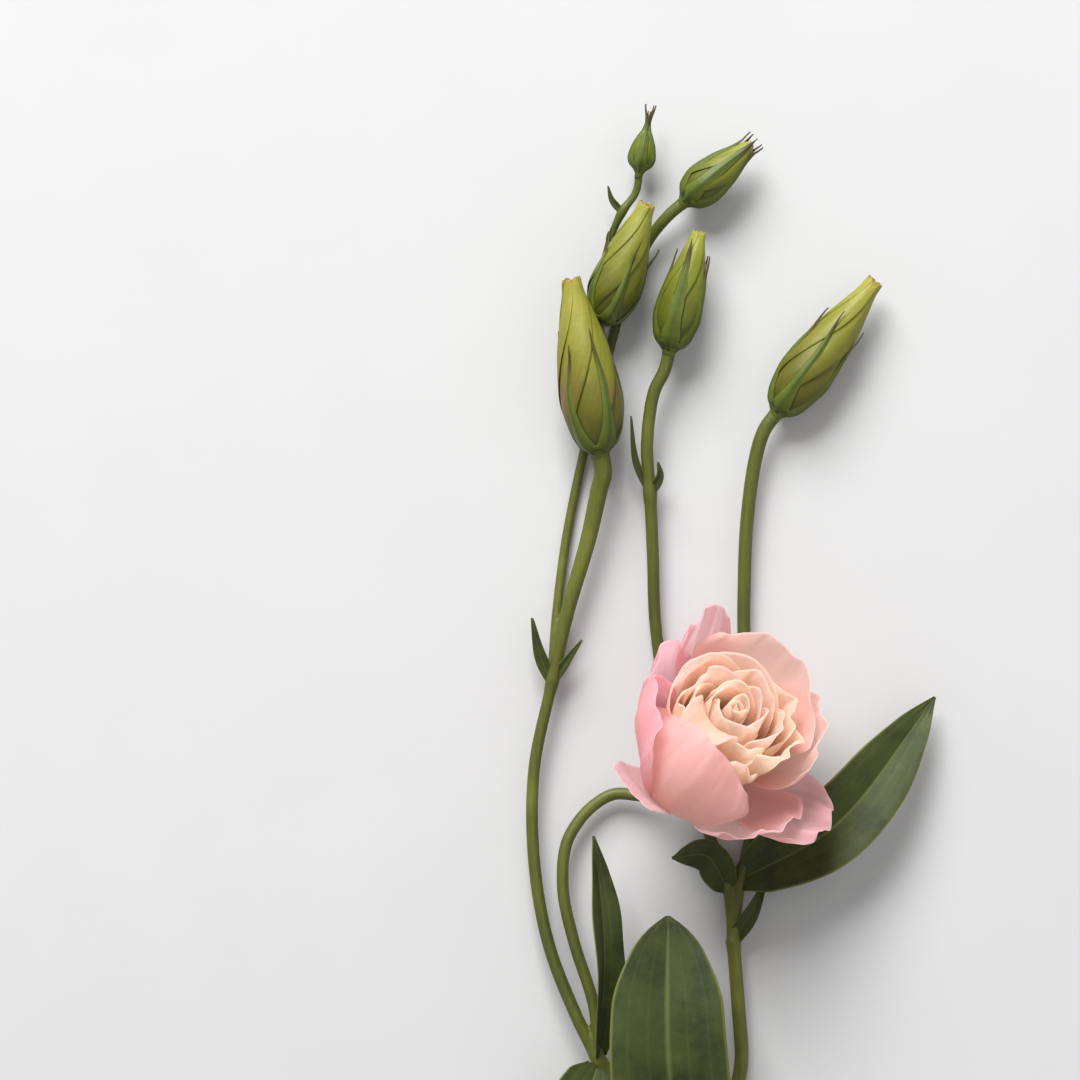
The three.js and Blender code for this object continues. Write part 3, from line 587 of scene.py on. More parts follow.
def leaf_surface(leaf, shape):
    """A leaf blade, folded along its middle, with waved edges."""
    line = curve([place(leaf[key]) for key in ("base", "middle", "tip")], LINE_POINTS)
    tangents = unit(np.gradient(line, axis=0))
    up = unit(leaf.get("facing", [0, 0, 1]))
    lift = math.radians(leaf.get("fold", BRACT_FOLD))
    wave, width, seed = leaf.get("wave", 0), leaf["width"], leaf.get("seed", 0)
    length = length_of(line)

    def surface(u, v):
        t = np.clip(v, 0, 1)

        def along_line(values):
            places = t * (LINE_POINTS - 1), np.arange(LINE_POINTS)
            return np.stack([np.interp(*places, values[:, k]) for k in range(3)], -1)

        point, tangent = along_line(line), unit(along_line(tangents))
        sideways = unit(np.cross(tangent, up))
        normal = np.cross(sideways, tangent)
        x = u * (width / 2) * outline(shape, t)
        rib = min(RIB, width / 8)
        away = np.sqrt(x**2 + rib**2) - rib
        share = np.abs(u)
        ripple = wave * u**2 * np.sin(2 * math.pi * v + np.where(u > 0, 1.2, 0)) * outline(shape, t)
        ripple += 0.25 * wave * u**2 * np.sin(5.3 * math.pi * v + seed * 7 + np.where(u > 0, 2.1, 0))
        arch = ARCH * width * share**2 * (0.9 - share) * np.sin(math.pi * t)
        groove = -GROOVE_DEPTH * hump(x, 0, GROOVE_WIDTH) * (1 - 0.6 * t)
        side_veins = -VEIN_DEPTH * (hump(share, 0.36 * (1 - 0.3 * t), 0.05) + hump(share, 0.7, 0.04))
        relief = groove + (side_veins if width > VEINED_WIDTH else 0)
        return (
            point
            + tangent * ((v - t) * length)[..., None]
            + sideways * (x * math.cos(lift))[..., None]
            + normal * (away * math.sin(lift) + ripple + arch + relief)[..., None]
        )

    return surface


LEAVES = [
    dict(name="leaf_front", base=[682, 1192, 10], middle=[668, 1050, 26], tip=[668, 916, 20],
         width=40, fold=20, wave=1.5, outline=BLUNT_OUTLINE),
    dict(name="leaf_low_left", base=[676, 1202, 8], middle=[600, 1215, 12], tip=[505, 1160, 2],
         width=28, fold=18, wave=1.5),
    dict(name="leaf_hanging", base=[597, 1066, 12], middle=[582, 1120, 25], tip=[560, 1215, 24],
         width=24, fold=14, wave=1),
    dict(name="leaf_behind_arch", base=[599, 1056, 12], middle=[604, 950, 20], tip=[594, 836, 17],
         width=17, facing=[0.75, 0.1, 0.66], fold=26, wave=1),
    dict(name="leaf_right", base=[739, 881, 5], middle=[836, 825, 14], tip=[935, 697, 7],
         width=26, facing=[0.25, 0.35, 0.9], fold=24, wave=1),
    dict(name="leaf_small", base=[728, 890, 5], middle=[706, 856, 11], tip=[672, 858, 13],
         width=12, fold=16, wave=0.5),
    dict(name="leaf_middle_left", base=[678, 1393, 5.5], middle=[600, 1340, 16], tip=[505, 1275, 0.4],
         width=29, fold=18, wave=1.5),
    dict(name="leaf_middle_right", base=[690, 1391, 5.5], middle=[768, 1330, 16], tip=[850, 1250, 0.4],
         width=30, fold=18, wave=1.5),
    dict(name="leaf_foot_left", base=[684, 1551, 3.5], middle=[634, 1480, 12], tip=[572, 1400, 3],
         width=24, fold=18, wave=1.5),
    dict(name="leaf_foot_right", base=[696, 1549, 3.5], middle=[760, 1492, 12], tip=[822, 1420, 3],
         width=25, fold=18, wave=1.5),
]
BRACTS = [
    dict(base=BUD_NODE, middle=[540, 655, 8], tip=[532, 618, 10], width=4.5),
    dict(base=BUD_NODE, middle=[566, 662, 9], tip=[582, 640, 11], width=3.5),
    dict(base=INNER_NODE, middle=[636, 462, 9], tip=[631, 416, 11], width=2.6),
    dict(base=INNER_NODE, middle=[660, 476, 10], tip=[658, 462, 12], width=3.5),
    dict(base=TRIPLE_NODE, middle=[580, 380, 2], tip=[571, 350, 3], width=2.8),
    dict(base=RIGHT_NODE, middle=[752, 912, 8], tip=[766, 880, 6], width=6),
    dict(base=HIGH_NODE, middle=[612, 200, 8], tip=[608, 186, 9], width=2.4),
]

LEAF_SEED_STEP = 0.37  # from leaf to leaf, so that neighbours ripple in different ways

for k, leaf in enumerate(LEAVES):
    leaf["seed"] = (LEAF_SEED_STEP * k) % 1
    blade = Shape()
    sheet(
        blade, leaf_surface(leaf, leaf.get("outline", LEAF_OUTLINE)), LEAF_GRID,
        thinning(0.85, edge=0.5, end=0.15, power=2), leaf["seed"],
    )
    finish_piece(blade.build(leaf["name"] + "_blade"), leaf["name"], LEAF)

# -------------------- buds

BUD_PROFILE = [(0, 0.5), (0.1, 0.8), (0.28, 1), (0.55, 0.86), (0.8, 0.54), (0.93, 0.36), (1, 0.29)]
BUD_PETALS = 5
CORE_PETALS = 3
FURLED_GRID = (26, 60)
CORE_GRID = (14, 30)
HALF_SPAN = math.radians(66)
STEP_OUT = 0.07  # how far a furled petal's free edge stands over the next, as a share
FURLED_DEPTH = 0.25  # how far its middle lies under a furled petal's outside
CORE_SIZE = 0.5  # the petals inside a bud's mouth, as a share of the outer ones
CORE_SUNK = 1.5  # how much lower they end
CORE_TURN = 0.6
CORE_STEP = 1.7  # from one of them to the next, where 1 is the step of the outer petals
PRESSED_IN = 0.1  # how closely cups and sepals are pressed into the petals
CUP = 3.2
PETAL_FOOT = CUP * 0.5  # the height at which a bud's petals start
CUP_RIM = CUP * 1.35
CUP_LOBES = CUP * 0.3
CUP_SIDES = 60
CUP_RINGS = 14
CUP_MARK = 0.2  # v at a cup's rim, so that it has the colour of the sepals' lower part
# The cup's outer outline: its height and how far it has widened, both as shares.
CUP_OUTLINE = [(0, 0), (0.2, 0.08), (0.45, 0.42), (0.7, 0.76), (1, 1)]
SEPAL_GRID = (12, 44)
SEPAL_SPAN = 0.66  # radians to each side, where neighbours just meet round the bud
SEPAL_FOOT = 0.4
SEPAL_SINK = 0.7  # how deep a sepal's foot lies in the cup
SEPAL_EMERGES = 2.2  # the height at which it has come out of the cup

# twist and turn are in degrees. mouth is how far the petals flare at their end, and age the seed
# that bud_finish reads. sepals is the sepals' length as a share of the bud's, wide and full say
# how broad they are, and their points stand off by open or close in by gather.
BUDS = [
    dict(name="bud_left", base=[600, 454, 13], tip=[571, 279, 19], radius=9.6, twist=150, turn=20,
         age=1.0, mouth=0.06, sepals=0.68, open=1.2, wide=0.6, full=1.1, gather=0,
         points=[BUD_NODE, [568, 610, 8], [588, 540, 9], [599, 490, 11]], radii=[2, 3]),
    dict(name="bud_upper", base=[600, 325, 10.4], tip=[647, 204, 18.5], radius=8, twist=140, turn=50,
         age=0.6, mouth=0.1, sepals=0.72, open=3, wide=0.6, full=1.1, gather=0,
         points=[TRIPLE_NODE, [602, 372, 4]], radii=[1.3, 1.9]),
    dict(name="bud_right", base=[776, 414, 7.8], tip=[875, 281, 10.3], radius=8.2, twist=150, turn=10,
         age=0.85, mouth=0.1, sepals=0.72, open=1.6, wide=0.6, full=1.1, gather=0,
         points=[
             RIGHT_NODE, [740, 881, 5], [750, 838, 4.4], [753, 780, 4.2], [748, 700, 4.4],
             [744, 640, 5], [744, 590, 5], [747, 520, 5.8], [756, 456, 6.8],
         ], radii=[1.9, 2.3]),
    dict(name="bud_inner", base=[669, 352, 10.5], tip=[699, 232, 13], radius=7.2, twist=120, turn=30,
         age=0.25, mouth=0.0, sepals=0.88, open=1.4, wide=0.8, full=1.8, gather=0,
         points=[
             RIGHT_NODE, [728, 890, 5], [710, 836, 3.4], [686, 765, 3.2], [665, 690, 3.6],
             [655, 620, 4.5], [653, 560, 5.5], INNER_NODE, [647, 445, 8.5], [654, 392, 9.6],
         ], radii=[1.8, 2.1]),
    dict(name="bud_high", base=[683, 203, 8.5], tip=[752, 144, 12], radius=6.4, twist=120, turn=0,
         age=0.35, mouth=-0.45, sepals=1.08, open=1.4, wide=0.85, full=2.2, gather=0.25,
         points=[TRIPLE_NODE, [607, 360, 1.6], [622, 305, 2], [638, 262, 3.2], [650, 238, 5]],
         radii=[1.4, 2]),
    dict(name="bud_small", base=[639, 174, 8], tip=[647, 129, 10], radius=3.9, twist=90, turn=40,
         age=0.0, mouth=-0.6, sepals=1.48, open=1.2, wide=1.1, full=1.6, gather=0.6,
         points=[TRIPLE_NODE, [594, 345, 1.5], [599, 290, 2.2], [609, 243, 4.5], HIGH_NODE],
         radii=[1.1, 1.3]),
]


def bud_frame(bud):
    """The bud's foot, axis and length, and a function from (angle, distance, height) to a place."""
    foot, head = place(bud["base"]), place(bud["tip"])
    axis = unit(head - foot)
    cross = np.cross([0, 0, 1], axis)
    angle = math.atan2(np.linalg.norm(cross), axis[2])
    x, y, z = unit(cross)
    skew = np.array([[0, -z, y], [z, 0, -x], [-y, x, 0]])
    turn = np.eye(3) + math.sin(angle) * skew + (1 - math.cos(angle)) * skew @ skew

    def point(a, r, h):
        a, r, h = np.broadcast_arrays(a, r, h)
        return np.stack([r * np.cos(a), r * np.sin(a), h], -1) @ turn.T + foot

    return foot, axis, float(np.linalg.norm(head - foot)), point


def body_radius(bud, length, height):
    """How far the outside of a bud's petals stands from its axis, at a height along it."""
    t = np.clip((height - PETAL_FOOT) / (length - PETAL_FOOT), 0, 0.95)
    return bud["radius"] * outline(BUD_PROFILE, t) * (1 + STEP_OUT / 2) - PRESSED_IN


def furled_petal(bud, point, length, k, core=False):
    """One petal of a bud, wound round the others from its foot to the mouth. A core petal is a
    small one that fills the mouth."""
    size = CORE_SIZE if core else 1.0
    tall = length - PETAL_FOOT - (CORE_SUNK if core else 0)
    first = 2 * math.pi * k / BUD_PETALS + (CORE_TURN if core else 0)
    phase = 1.7 * k + bud["radius"]

    def surface(u, v):
        t = np.clip(v, 0, 1)
        angle = first + math.radians(bud["twist"]) * t + u * HALF_SPAN
        profile = outline(BUD_PROFILE, t)
        step = 1 + STEP_OUT * u * smooth(t, 0.0, 0.25) + 0.012 * np.sin(3 * math.pi * u + 9 * t + phase)
        mouth = smooth(t, 0.92, 1)
        flare = 1 + mouth * (bud["mouth"] + 0.05 * np.sin(1.5 * math.pi * u + phase))
        top = 1 - 0.02 * np.abs(u) ** 2 + 0.012 * np.sin(1.3 * math.pi * u + phase)
        height = PETAL_FOOT + tall * v * (1 + (top - 1) * smooth(t, 0.8, 1))
        return point(angle, bud["radius"] * profile * step * flare * size - FURLED_DEPTH, height)

    return surface


def keel(u):
    """The ridge along a sepal's middle, from 1 there to 0 at its sides."""
    return np.maximum(0, 1 - np.abs(u)) ** 1.5


def sepal(shape, bud, point, length, k):
    """One keeled sepal that grows out of the cup, hugs the petals and ends in a thin point."""
    angle = math.radians(bud["turn"] + 360 * k / BUD_PETALS)
    wide = bud["radius"] * bud["wide"]
    stalk = bud["radii"][1]
    lean = 0.25 * math.sin(2.2 * k + bud["turn"])
    own = bud["sepals"] * (1 + 0.06 * math.sin(3.1 * k + bud["turn"]))

    def surface(u, v):
        t = np.clip(v, 0, 1)
        height = SEPAL_FOOT + (length - SEPAL_FOOT) * t * own
        cup = stalk + (body_radius(bud, length, height) - stalk) * smooth(height, -0.5, CUP)
        gather = 1 - bud["gather"] * smooth(height / length, 0.85, 1.15)
        sunk = SEPAL_SINK * (1 - smooth(height, SEPAL_FOOT, SEPAL_EMERGES))
        distance = np.maximum(0.5, cup * gather + bud["open"] * smooth(t, 0.72, 1) * t) - sunk
        least = 0.3 - 0.2 * smooth(t, 0.85, 1)
        narrowing = (1 + 0.6 * (1 - smooth(t, 0, 0.3))) * (1 - t ** bud["full"])
        half = np.minimum(np.maximum(least, (wide / 2) * narrowing) / distance, SEPAL_SPAN)
        swing = lean * smooth(t, 0.55, 1)
        return point(angle + swing + u * half, distance + (0.45 * (1 - t) + 0.25) * keel(u), height)

    sheet(shape, surface, SEPAL_GRID, thinning(0.45, edge=0.25, end=0.1), seed=k / BUD_PETALS)


def lobed_cup(shape, point, rings, turn=0.0, lobes=0.0):
    """A cup round an axis, as [distance, height] rings. Its upper edge rises by lobes towards
    each sepal, the first of which stands at turn."""
    angles = np.linspace(0, 2 * math.pi, CUP_SIDES, endpoint=False)
    last = len(rings) - 1
    waves = lobes * np.cos(BUD_PETALS * (angles - turn))
    made = [
        point(angles, distance, height + waves * smooth(k / last, 0.3, 0.7))
        for k, (distance, height) in enumerate(rings)
    ]
    loft(shape, made, np.linspace(0.0, CUP_MARK, len(rings)))


def bud_cup(shape, bud, point, length):
    """The calyx under a bud, which widens in a curve from the stalk to the bud's girth."""
    stalk, girth = bud["radii"][1] * 1.04, body_radius(bud, length, CUP_RIM) - PRESSED_IN
    below = [[stalk * 0.9, -1.6]]
    up = np.linspace(0, 1, CUP_RINGS)
    outside = [[stalk + (girth - stalk) * outline(CUP_OUTLINE, t), CUP_RIM * t] for t in up]
    inside = [[girth * 0.9, CUP * 1.3], [girth * 0.6, CUP], [girth * 0.4, CUP * 0.8]]
    lobed_cup(shape, point, below + outside + inside, math.radians(bud["turn"]), CUP_LOBES)


stem_shape = Shape()
for stretch in STRETCHES:
    tube(stem_shape, [place(p) for p in stretch["points"]], stretch["radii"])

for bud in BUDS:
    foot, axis, length, point = bud_frame(bud)
    tube(stem_shape, [place(p) for p in bud["points"]] + stalk_end(foot, axis), bud["radii"])
    petals = Shape()
    for k in range(BUD_PETALS):
        furled = furled_petal(bud, point, length, k)
        sheet(petals, furled, FURLED_GRID, thinning(0.45, edge=0.2, power=3), seed=bud["age"])
    for k in range(CORE_PETALS):
        furled = furled_petal(bud, point, length, k * CORE_STEP, core=True)
        sheet(petals, furled, CORE_GRID, thinning(0.3), seed=bud["age"])
    finish_piece(petals.build(bud["name"] + "_furled"), bud["name"] + "_petals", BUD)
    calyx = Shape()
    bud_cup(calyx, bud, point, length)
    for k in range(BUD_PETALS):
        sepal(calyx, bud, point, length, k)
    finish_piece(calyx.build(bud["name"] + "_sepals"), bud["name"] + "_calyx", SEPAL)

# -------------------- the open bloom

BLOOM_BASE = [698, 767, 22]
BLOOM_AXIS = unit([0.325, 0.565, 0.758])
UPWARDS = unit(np.array([0, 1, 0]) - BLOOM_AXIS[1] * BLOOM_AXIS)
BLOOM_FRAME = np.stack([np.cross(UPWARDS, BLOOM_AXIS), UPWARDS, BLOOM_AXIS])
BLOOM_FOOT = -8.2


def in_bloom(x, y, height):
    """A place in the bloom's own frame, whose height runs along its axis."""
    x, y, height = np.broadcast_arrays(x, y, height)
    return np.stack([x, y, height], -1) @ BLOOM_FRAME + place(BLOOM_BASE)


def round_bloom(angle, distance, height):
    """A place given by its direction and distance from the bloom's axis."""
    return in_bloom(distance * np.cos(angle), distance * np.sin(angle), height)


PETAL_OUTLINE = [(0, 0.2), (0.25, 0.55), (0.55, 0.92), (0.8, 1), (1, 0.82)]
PATH_STEPS = 80
SCALLOP = 0.008
SCALLOPS = 6
OUTER_GRID = (48, 52)
INNER_GRID = (36, 40)
# A petal's measures are named as in the CAD source. crinkle is the size of its fine folds, and
# pink the seed that petal_finish reads.
PETAL_DEFAULTS = dict(
    turn=1.0, lip=0, lipFrom=0.86, lipTo=1, start=(3.2, 0), corner=0.16, peak=0, peakAt=0, spread=0,
    spreadFrom=0.5, wrap=1.0, least=4, flatLeft=9, flatRight=9, rollLeft=4, rollRight=4, ruffle=0,
    waves=3, lap=0, tuck=0, crinkle=0.16,
)


def petal_path(petal):
    """The middle line of a petal, as rows of distance from the axis, height and tilt."""
    lean = [math.radians(a) for a in petal["lean"]]
    share = (np.arange(PATH_STEPS) + 0.5) / PATH_STEPS
    tilt = lean[0] + (lean[1] - lean[0]) * share ** petal["turn"]
    tilt = tilt + math.radians(petal["lip"]) * smooth(share, petal["lipFrom"], petal["lipTo"])
    step = petal["length"] / PATH_STEPS
    distance, height = petal["start"]
    return np.stack([
        np.concatenate([[distance], distance + np.cumsum(step * np.sin(tilt))]),
        np.concatenate([[height], height + np.cumsum(step * np.cos(tilt))]),
        np.concatenate([[lean[0]], tilt]),
    ])


def petal_top(petal, u, v):
    """How far up the petal reaches at u: with round corners, a peak and fine scallops."""
    top = 1 - petal["corner"] * np.abs(u) ** 2.4
    top = top + petal["peak"] * hump(u, petal["peakAt"], 0.22)
    scallops = SCALLOP * np.sin(SCALLOPS * math.pi / 2 * u + 1.7 * petal["phase"])
    return top + scallops * smooth(v, 0.6, 1)


def bent_round(petal, x, out):
    """Bends a flat cross-section round the bloom, and its flanks more tightly. Gives how far
    sideways and how far from the middle line's tangent each point of it comes to lie."""
    bend = np.maximum(petal["wrap"] * out, petal["least"])
    flat = np.where(x < 0, petal["flatLeft"], petal["flatRight"]) * petal["width"] / 2
    roll = np.where(x < 0, petal["rollLeft"], petal["rollRight"])
    inner = np.minimum(np.abs(x), flat)
    turned = (np.abs(x) - inner) / roll
    bent = inner / bend
    along = bend * np.sin(bent) + roll * (np.sin(bent) - np.sin(bent - turned))
    away = -bend * (1 - np.cos(bent)) + roll * (np.cos(bent - turned) - np.cos(bent))
    return np.sign(x) * along, away


def rippled(petal, u, v, x, away):
    """The distance away with the petal's ruffles, lap, tuck and fine folds added to it."""
    t = np.clip(v, 0, 1)
    ruffle, waves, phase = petal["ruffle"], petal["waves"], petal["phase"]
    sides = smooth(np.abs(u), 0.55, 1) * smooth(v, 0.3, 0.8)
    away = away + ruffle * (t**3 + 0.5 * sides) * np.sin(waves * math.pi * u + phase)
    away = away + 0.35 * ruffle * t**3 * np.sin(2.3 * waves * math.pi * u + 2.1 * phase + 3 * v)
    away = away + petal["lap"] * u * smooth(v, 0, 0.35)
    away = away - petal["tuck"] * smooth(-u, -0.1, 1) * smooth(v, 0.1, 0.5)
    fold = np.sin(0.55 * x + 2.3 * phase + 2 * np.sin(3 * v + phase)) * np.sin(7 * v + 1.3 * phase)
    fold = fold + 0.6 * np.sin(1.5 * x + 4.1 * v + phase) * np.sin(13 * v + 3 * phase)
    return away + petal["crinkle"] * fold * smooth(v, 0.1, 0.6)


def petal_surface(measures):
    """One petal of the bloom, with u across it and v from its foot to its rim."""
    petal = {**PETAL_DEFAULTS, **measures}
    path = petal_path(petal)
    angle = math.radians(petal["angle"])

    def surface(u, v):
        reach = v * petal_top(petal, u, v)
        at = np.clip(reach, 0, 1) * PATH_STEPS
        out, up, tilt = (np.interp(at, np.arange(PATH_STEPS + 1), row) for row in path)
        extra = np.maximum(reach - 1, 0) * petal["length"]
        out, up = out + extra * np.sin(tilt), up + extra * np.cos(tilt)
        x = u * petal["width"] / 2 * outline(PETAL_OUTLINE, v)
        widening = smooth(v, petal["spreadFrom"], petal["spreadFrom"] + 0.5)
        x = x * (1 + petal["spread"] * smooth(u, 0, 1) * widening)
        side, away = bent_round(petal, x, out)
        away = rippled(petal, u, v, x, away)
        distance = out + away * np.cos(tilt)
        return in_bloom(
            distance * math.cos(angle) - side * math.sin(angle),
            distance * math.sin(angle) + side * math.cos(angle),
            up - away * np.sin(tilt),
        )

    return surface


OUTER_PETALS = [
    dict(angle=90, lean=(70, 10), turn=1.1, length=50.5, width=24, wrap=0.8, lip=10, corner=0.12,
         peak=0.05, peakAt=-0.1, ruffle=1.0, lap=-5, pink=0.75),
    dict(angle=130, lean=(74, -6), turn=1.1, length=48, width=42, wrap=0.95, lip=14, corner=0.45,
         ruffle=0.8, lap=-1, spread=-0.1, pink=0.95),
    dict(angle=177, lean=(82, -24), turn=1.2, length=50, width=54, wrap=0.95, flatLeft=0.3, rollLeft=5,
         flatRight=0.3, rollRight=10, lap=3, spread=-0.28, spreadFrom=-0.2, ruffle=0.5, crinkle=0.26,
         pink=0.8),
    dict(angle=208, lean=(92, 14), turn=1.2, length=43, width=22, wrap=1.2, lip=40, lipFrom=0.7,
         start=(3.2, -0.8), corner=0, pink=0.6),
    dict(angle=214, lean=(101, -64), turn=1.07, length=64, width=48, wrap=1.05, lip=6, corner=0.08,
         ruffle=0.8, tuck=12, spread=0.33, start=(3.2, -2), pink=0.35),
    dict(angle=286, lean=(90, 10), turn=1.6, length=40, width=42, wrap=1.3, lip=10, start=(3.2, -0.8),
         ruffle=1.0, pink=0.5),
    dict(angle=316, lean=(90, 50), length=44, width=32, lip=6, start=(3.2, -1.6), ruffle=1.2, pink=0.6),
    dict(angle=354, lean=(78, -8), turn=1.2, length=46, width=44, lip=14, lap=2, ruffle=1.0, pink=0.1),
    dict(angle=40, lean=(74, -8), turn=1.1, length=50, width=58, lip=10, tuck=5, ruffle=0.9, pink=0.1),
]


def inner_petals():
    """The petals of the inner rings, each ring by one rule from the petal's number. Two of the
    second ring are set one by one, and the rim of the last of these is rolled far out."""
    for k in range(6):
        calm = k in (1, 2)
        yield dict(
            angle=60 * k + 8 * (k % 2), lean=(74, -12), turn=0.9, length=37 + k % 3,
            width=44 if calm else 36, wrap=0.85, least=5, start=(2.2, 4.6), lip=26, lipFrom=0.82,
            ruffle=0.5 if calm else 1.4, waves=1.5 if calm else 2.6, phase=1.9 * k, lap=2.6,
        )
    for k in (0, 1, 3, 4):
        yield dict(
            angle=40 + 72 * k, lean=(60, -14), turn=0.85, length=36, width=29, wrap=0.85, least=4,
            start=(2.0, 4.8), lip=20, lipFrom=0.82, ruffle=0.8, waves=1.8, phase=2.3 * k, lap=2.4,
        )
    yield dict(
        angle=168, lean=(54, -8), turn=0.85, length=35, width=30, wrap=0.9, least=4, start=(2.0, 4.8),
        lip=14, lipFrom=0.84, ruffle=0.5, waves=1.4, phase=3, lap=1.6,
    )
    yield dict(
        angle=206, lean=(40, -16), turn=0.85, length=43, width=20, wrap=1.2, least=6, start=(2.0, 4.8),
        lip=122, lipFrom=0.68, lipTo=0.84, corner=0.15, ruffle=0.3, waves=1.2, phase=1,
    )
    for k in range(6):
        yield dict(
            angle=20 + 60 * k, lean=(44, -16), turn=0.8, length=34.5, width=22, wrap=0.85, least=3,
            start=(1.6, 5), lip=10, lipFrom=0.84, ruffle=0.4, waves=1.6, phase=2.3 * k, lap=2.2,
        )
    for k in range(5):
        yield dict(
            angle=35 + 130 * k, lean=(26 - 4 * k, k - 12), turn=0.8, length=32 - 0.4 * k,
            width=17 - 2.2 * k, wrap=0.8, least=1.6, start=(1.1 - 0.1 * k, 5.5), lip=4, lipFrom=0.88,
            ruffle=0.15, waves=2, phase=2.3 * k, lap=1.6 - 0.2 * k, crinkle=0.06,
        )


def petal_thickness(u, v):
    """Thickest at the foot and thin over the whole upper part."""
    return 0.5 - 0.28 * np.clip(v, 0, 1) ** 2


PHASE_STEP = 1.3
RECEPTACLE_RINGS = [[1.6, -2.6], [3.4, -2.2], [4.3, -0.6], [4.6, 2.5], [3.5, 5.5]]
INNER_PINKEST = 0.6
INNER_PINK_STEP = 0.41  # from petal to petal, so that neighbours differ in colour

outer = Shape()
for k, petal in enumerate(OUTER_PETALS):
    surface = petal_surface({**petal, "phase": PHASE_STEP * k})
    sheet(outer, surface, OUTER_GRID, petal_thickness, seed=petal["pink"])
lobed_cup(outer, round_bloom, RECEPTACLE_RINGS)
finish_piece(outer.build("outer_petals"), "bloom_outer_petals", OUTER_PETAL)

inner = Shape()
for k, petal in enumerate(inner_petals()):
    pink = INNER_PINKEST * ((INNER_PINK_STEP * k) % 1)
    sheet(inner, petal_surface(petal), INNER_GRID, petal_thickness, seed=pink)
finish_piece(inner.build("inner_petals"), "bloom_inner_petals", INNER_PETAL)

# The bloom's own sepals, the first of them at an angle in degrees.
BLOOM_SEPALS = 5
FIRST_SEPAL = 30
SEPAL_START = 2.6
SEPAL_LENGTH = 13
SEPAL_HALF_WIDTH = 2.3
BLOOM_SEPAL_GRID = (8, 26)
CALYX_LOBES = 0.5
CALYX_RINGS = [
    [1.9, -9], [2.0, -8.2], [2.2, -7.4], [2.7, -6.4], [3.2, -5.2], [3.6, -4], [3.9, -2.6],
    [4.1, -1.6], [3.8, -1.5], [3, -2],
]


def bloom_sepal(angle):
    """A narrow keeled sepal spread behind the petals."""

    def surface(u, v):
        t = np.clip(v, 0, 1)
        along = SEPAL_START + SEPAL_LENGTH * v
        half = np.maximum(0.25, SEPAL_HALF_WIDTH * (1 - t**1.6))
        height = -5 + 4 * t - 4.2 * t**3 - (0.4 + 0.5 * (1 - t)) * keel(u)
        return round_bloom(angle + u * half / along, np.hypot(along, u * half), height)

    return surface


bloom_calyx = Shape()
lobed_cup(bloom_calyx, round_bloom, CALYX_RINGS, lobes=CALYX_LOBES)
for k in range(BLOOM_SEPALS):
    surface = bloom_sepal(math.radians(FIRST_SEPAL + 360 * k / BLOOM_SEPALS))
    thickness = thinning(0.5, edge=0.25, end=0.1)
    sheet(bloom_calyx, surface, BLOOM_SEPAL_GRID, thickness, seed=k / BLOOM_SEPALS)
finish_piece(bloom_calyx.build("bloom_sepals"), "bloom_calyx", SEPAL)

# -------------------- the whole stem and its bracts

bloom_end = stalk_end(round_bloom(0, 0, BLOOM_FOOT), BLOOM_AXIS)
tube(stem_shape, [place(p) for p in BLOOM_STALK["points"]] + bloom_end, BLOOM_STALK["radii"])
stem = baked(
    stem_shape.build("stem_skin"),
    ("REMESH", {"mode": "VOXEL", "voxel_size": VOXEL * MM}),
    ("SMOOTH", {"factor": 0.5, "iterations": 6}),
)
for vertex in stem.data.vertices:
    vertex.co.z = max(vertex.co.z, 0)  # what was smoothed stays out of the table too
finish_piece(stem, "stem", STEM)

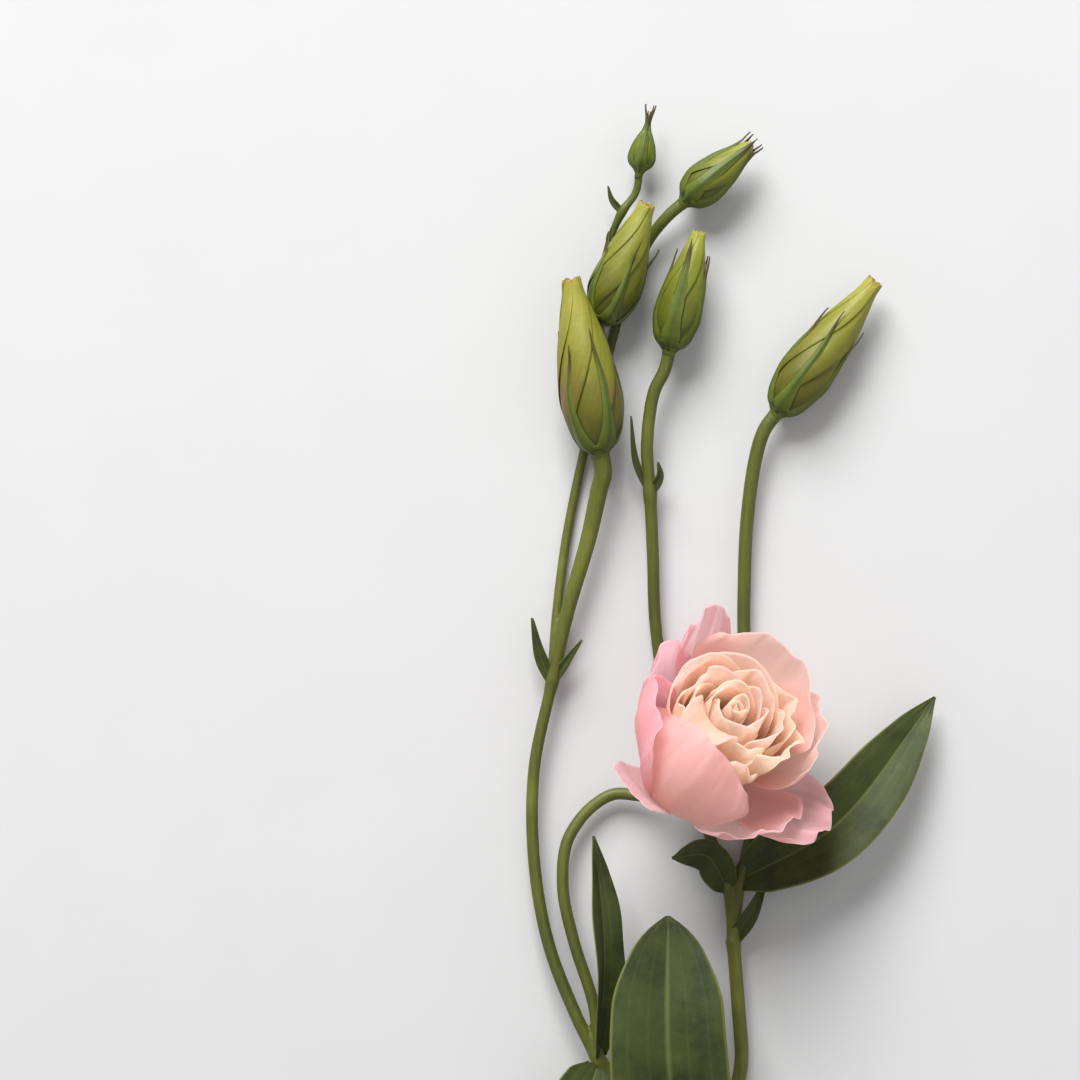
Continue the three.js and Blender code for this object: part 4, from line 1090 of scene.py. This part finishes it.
bracts = Shape()
for k, bract in enumerate(BRACTS):
    surface = leaf_surface(bract, BRACT_OUTLINE)
    thickness = thinning(0.7, edge=0.3, end=0.2, power=2)
    sheet(bracts, surface, BRACT_GRID, thickness, seed=(BRACT_SEED_STEP * k) % 1)
finish_piece(bracts.build("bracts"), "stem", LEAF)

# -------------------- table, light and camera

# Here lengths are in metres, and power is in watts.
FLOOR_HALF = 6.0
PAPER_TONES = (0.56, 0.57)
KEY_LIGHT = dict(location=(-0.6, 2.1, 1.65), size=1.5, power=120)
FILL_LIGHT = dict(location=(0.9, 0.1, 1.4), size=1.4, power=2)
WORLD_LIGHT = 0.47

floor_mesh = bpy.data.meshes.new("floor")
corners = [(x * FLOOR_HALF, y * FLOOR_HALF, 0.0) for x, y in ((-1, -1), (1, -1), (1, 1), (-1, 1))]
floor_mesh.from_pydata(corners, [], [(0, 1, 2, 3)])
floor = bpy.data.objects.new("floor", floor_mesh)
bpy.context.scene.collection.objects.link(floor)
paper = Finish("floor", Roughness=0.7, Specular_IOR_Level=0.2)
tone = paper.noise(paper.spot(), scale=0.02)
paper.paint(paper.ramp(tone, [(0.3, PAPER_TONES[0]), (0.7, PAPER_TONES[1])]))
floor_mesh.materials.append(paper.material)


def soft_light(name, location, size, power):
    """A large square lamp that faces the flower."""
    lamp = bpy.data.lights.new(name, "AREA")
    lamp.size, lamp.energy = size, power
    made = bpy.data.objects.new(name, lamp)
    made.location = location
    made.rotation_euler = Vector([-c for c in location]).to_track_quat("-Z", "Y").to_euler()
    bpy.context.scene.collection.objects.link(made)


soft_light("key", **KEY_LIGHT)
soft_light("fill", **FILL_LIGHT)

world = bpy.data.worlds.new("studio")
world.use_nodes = True
background = world.node_tree.nodes["Background"]
background.inputs["Color"].default_value = (1, 1, 1, 1)
background.inputs["Strength"].default_value = WORLD_LIGHT
scene = bpy.context.scene
scene.world = world
scene.view_settings.view_transform = "Standard"

camera = bpy.data.objects.new("camera", bpy.data.cameras.new("camera"))
camera.data.sensor_width = SENSOR
camera.data.lens = SENSOR * CAMERA_HEIGHT / (IMAGE_SIZE * MM_PER_PIXEL)
camera.location = place([*IMAGE_CENTRE, CAMERA_HEIGHT]) * MM
scene.collection.objects.link(camera)
scene.camera = camera
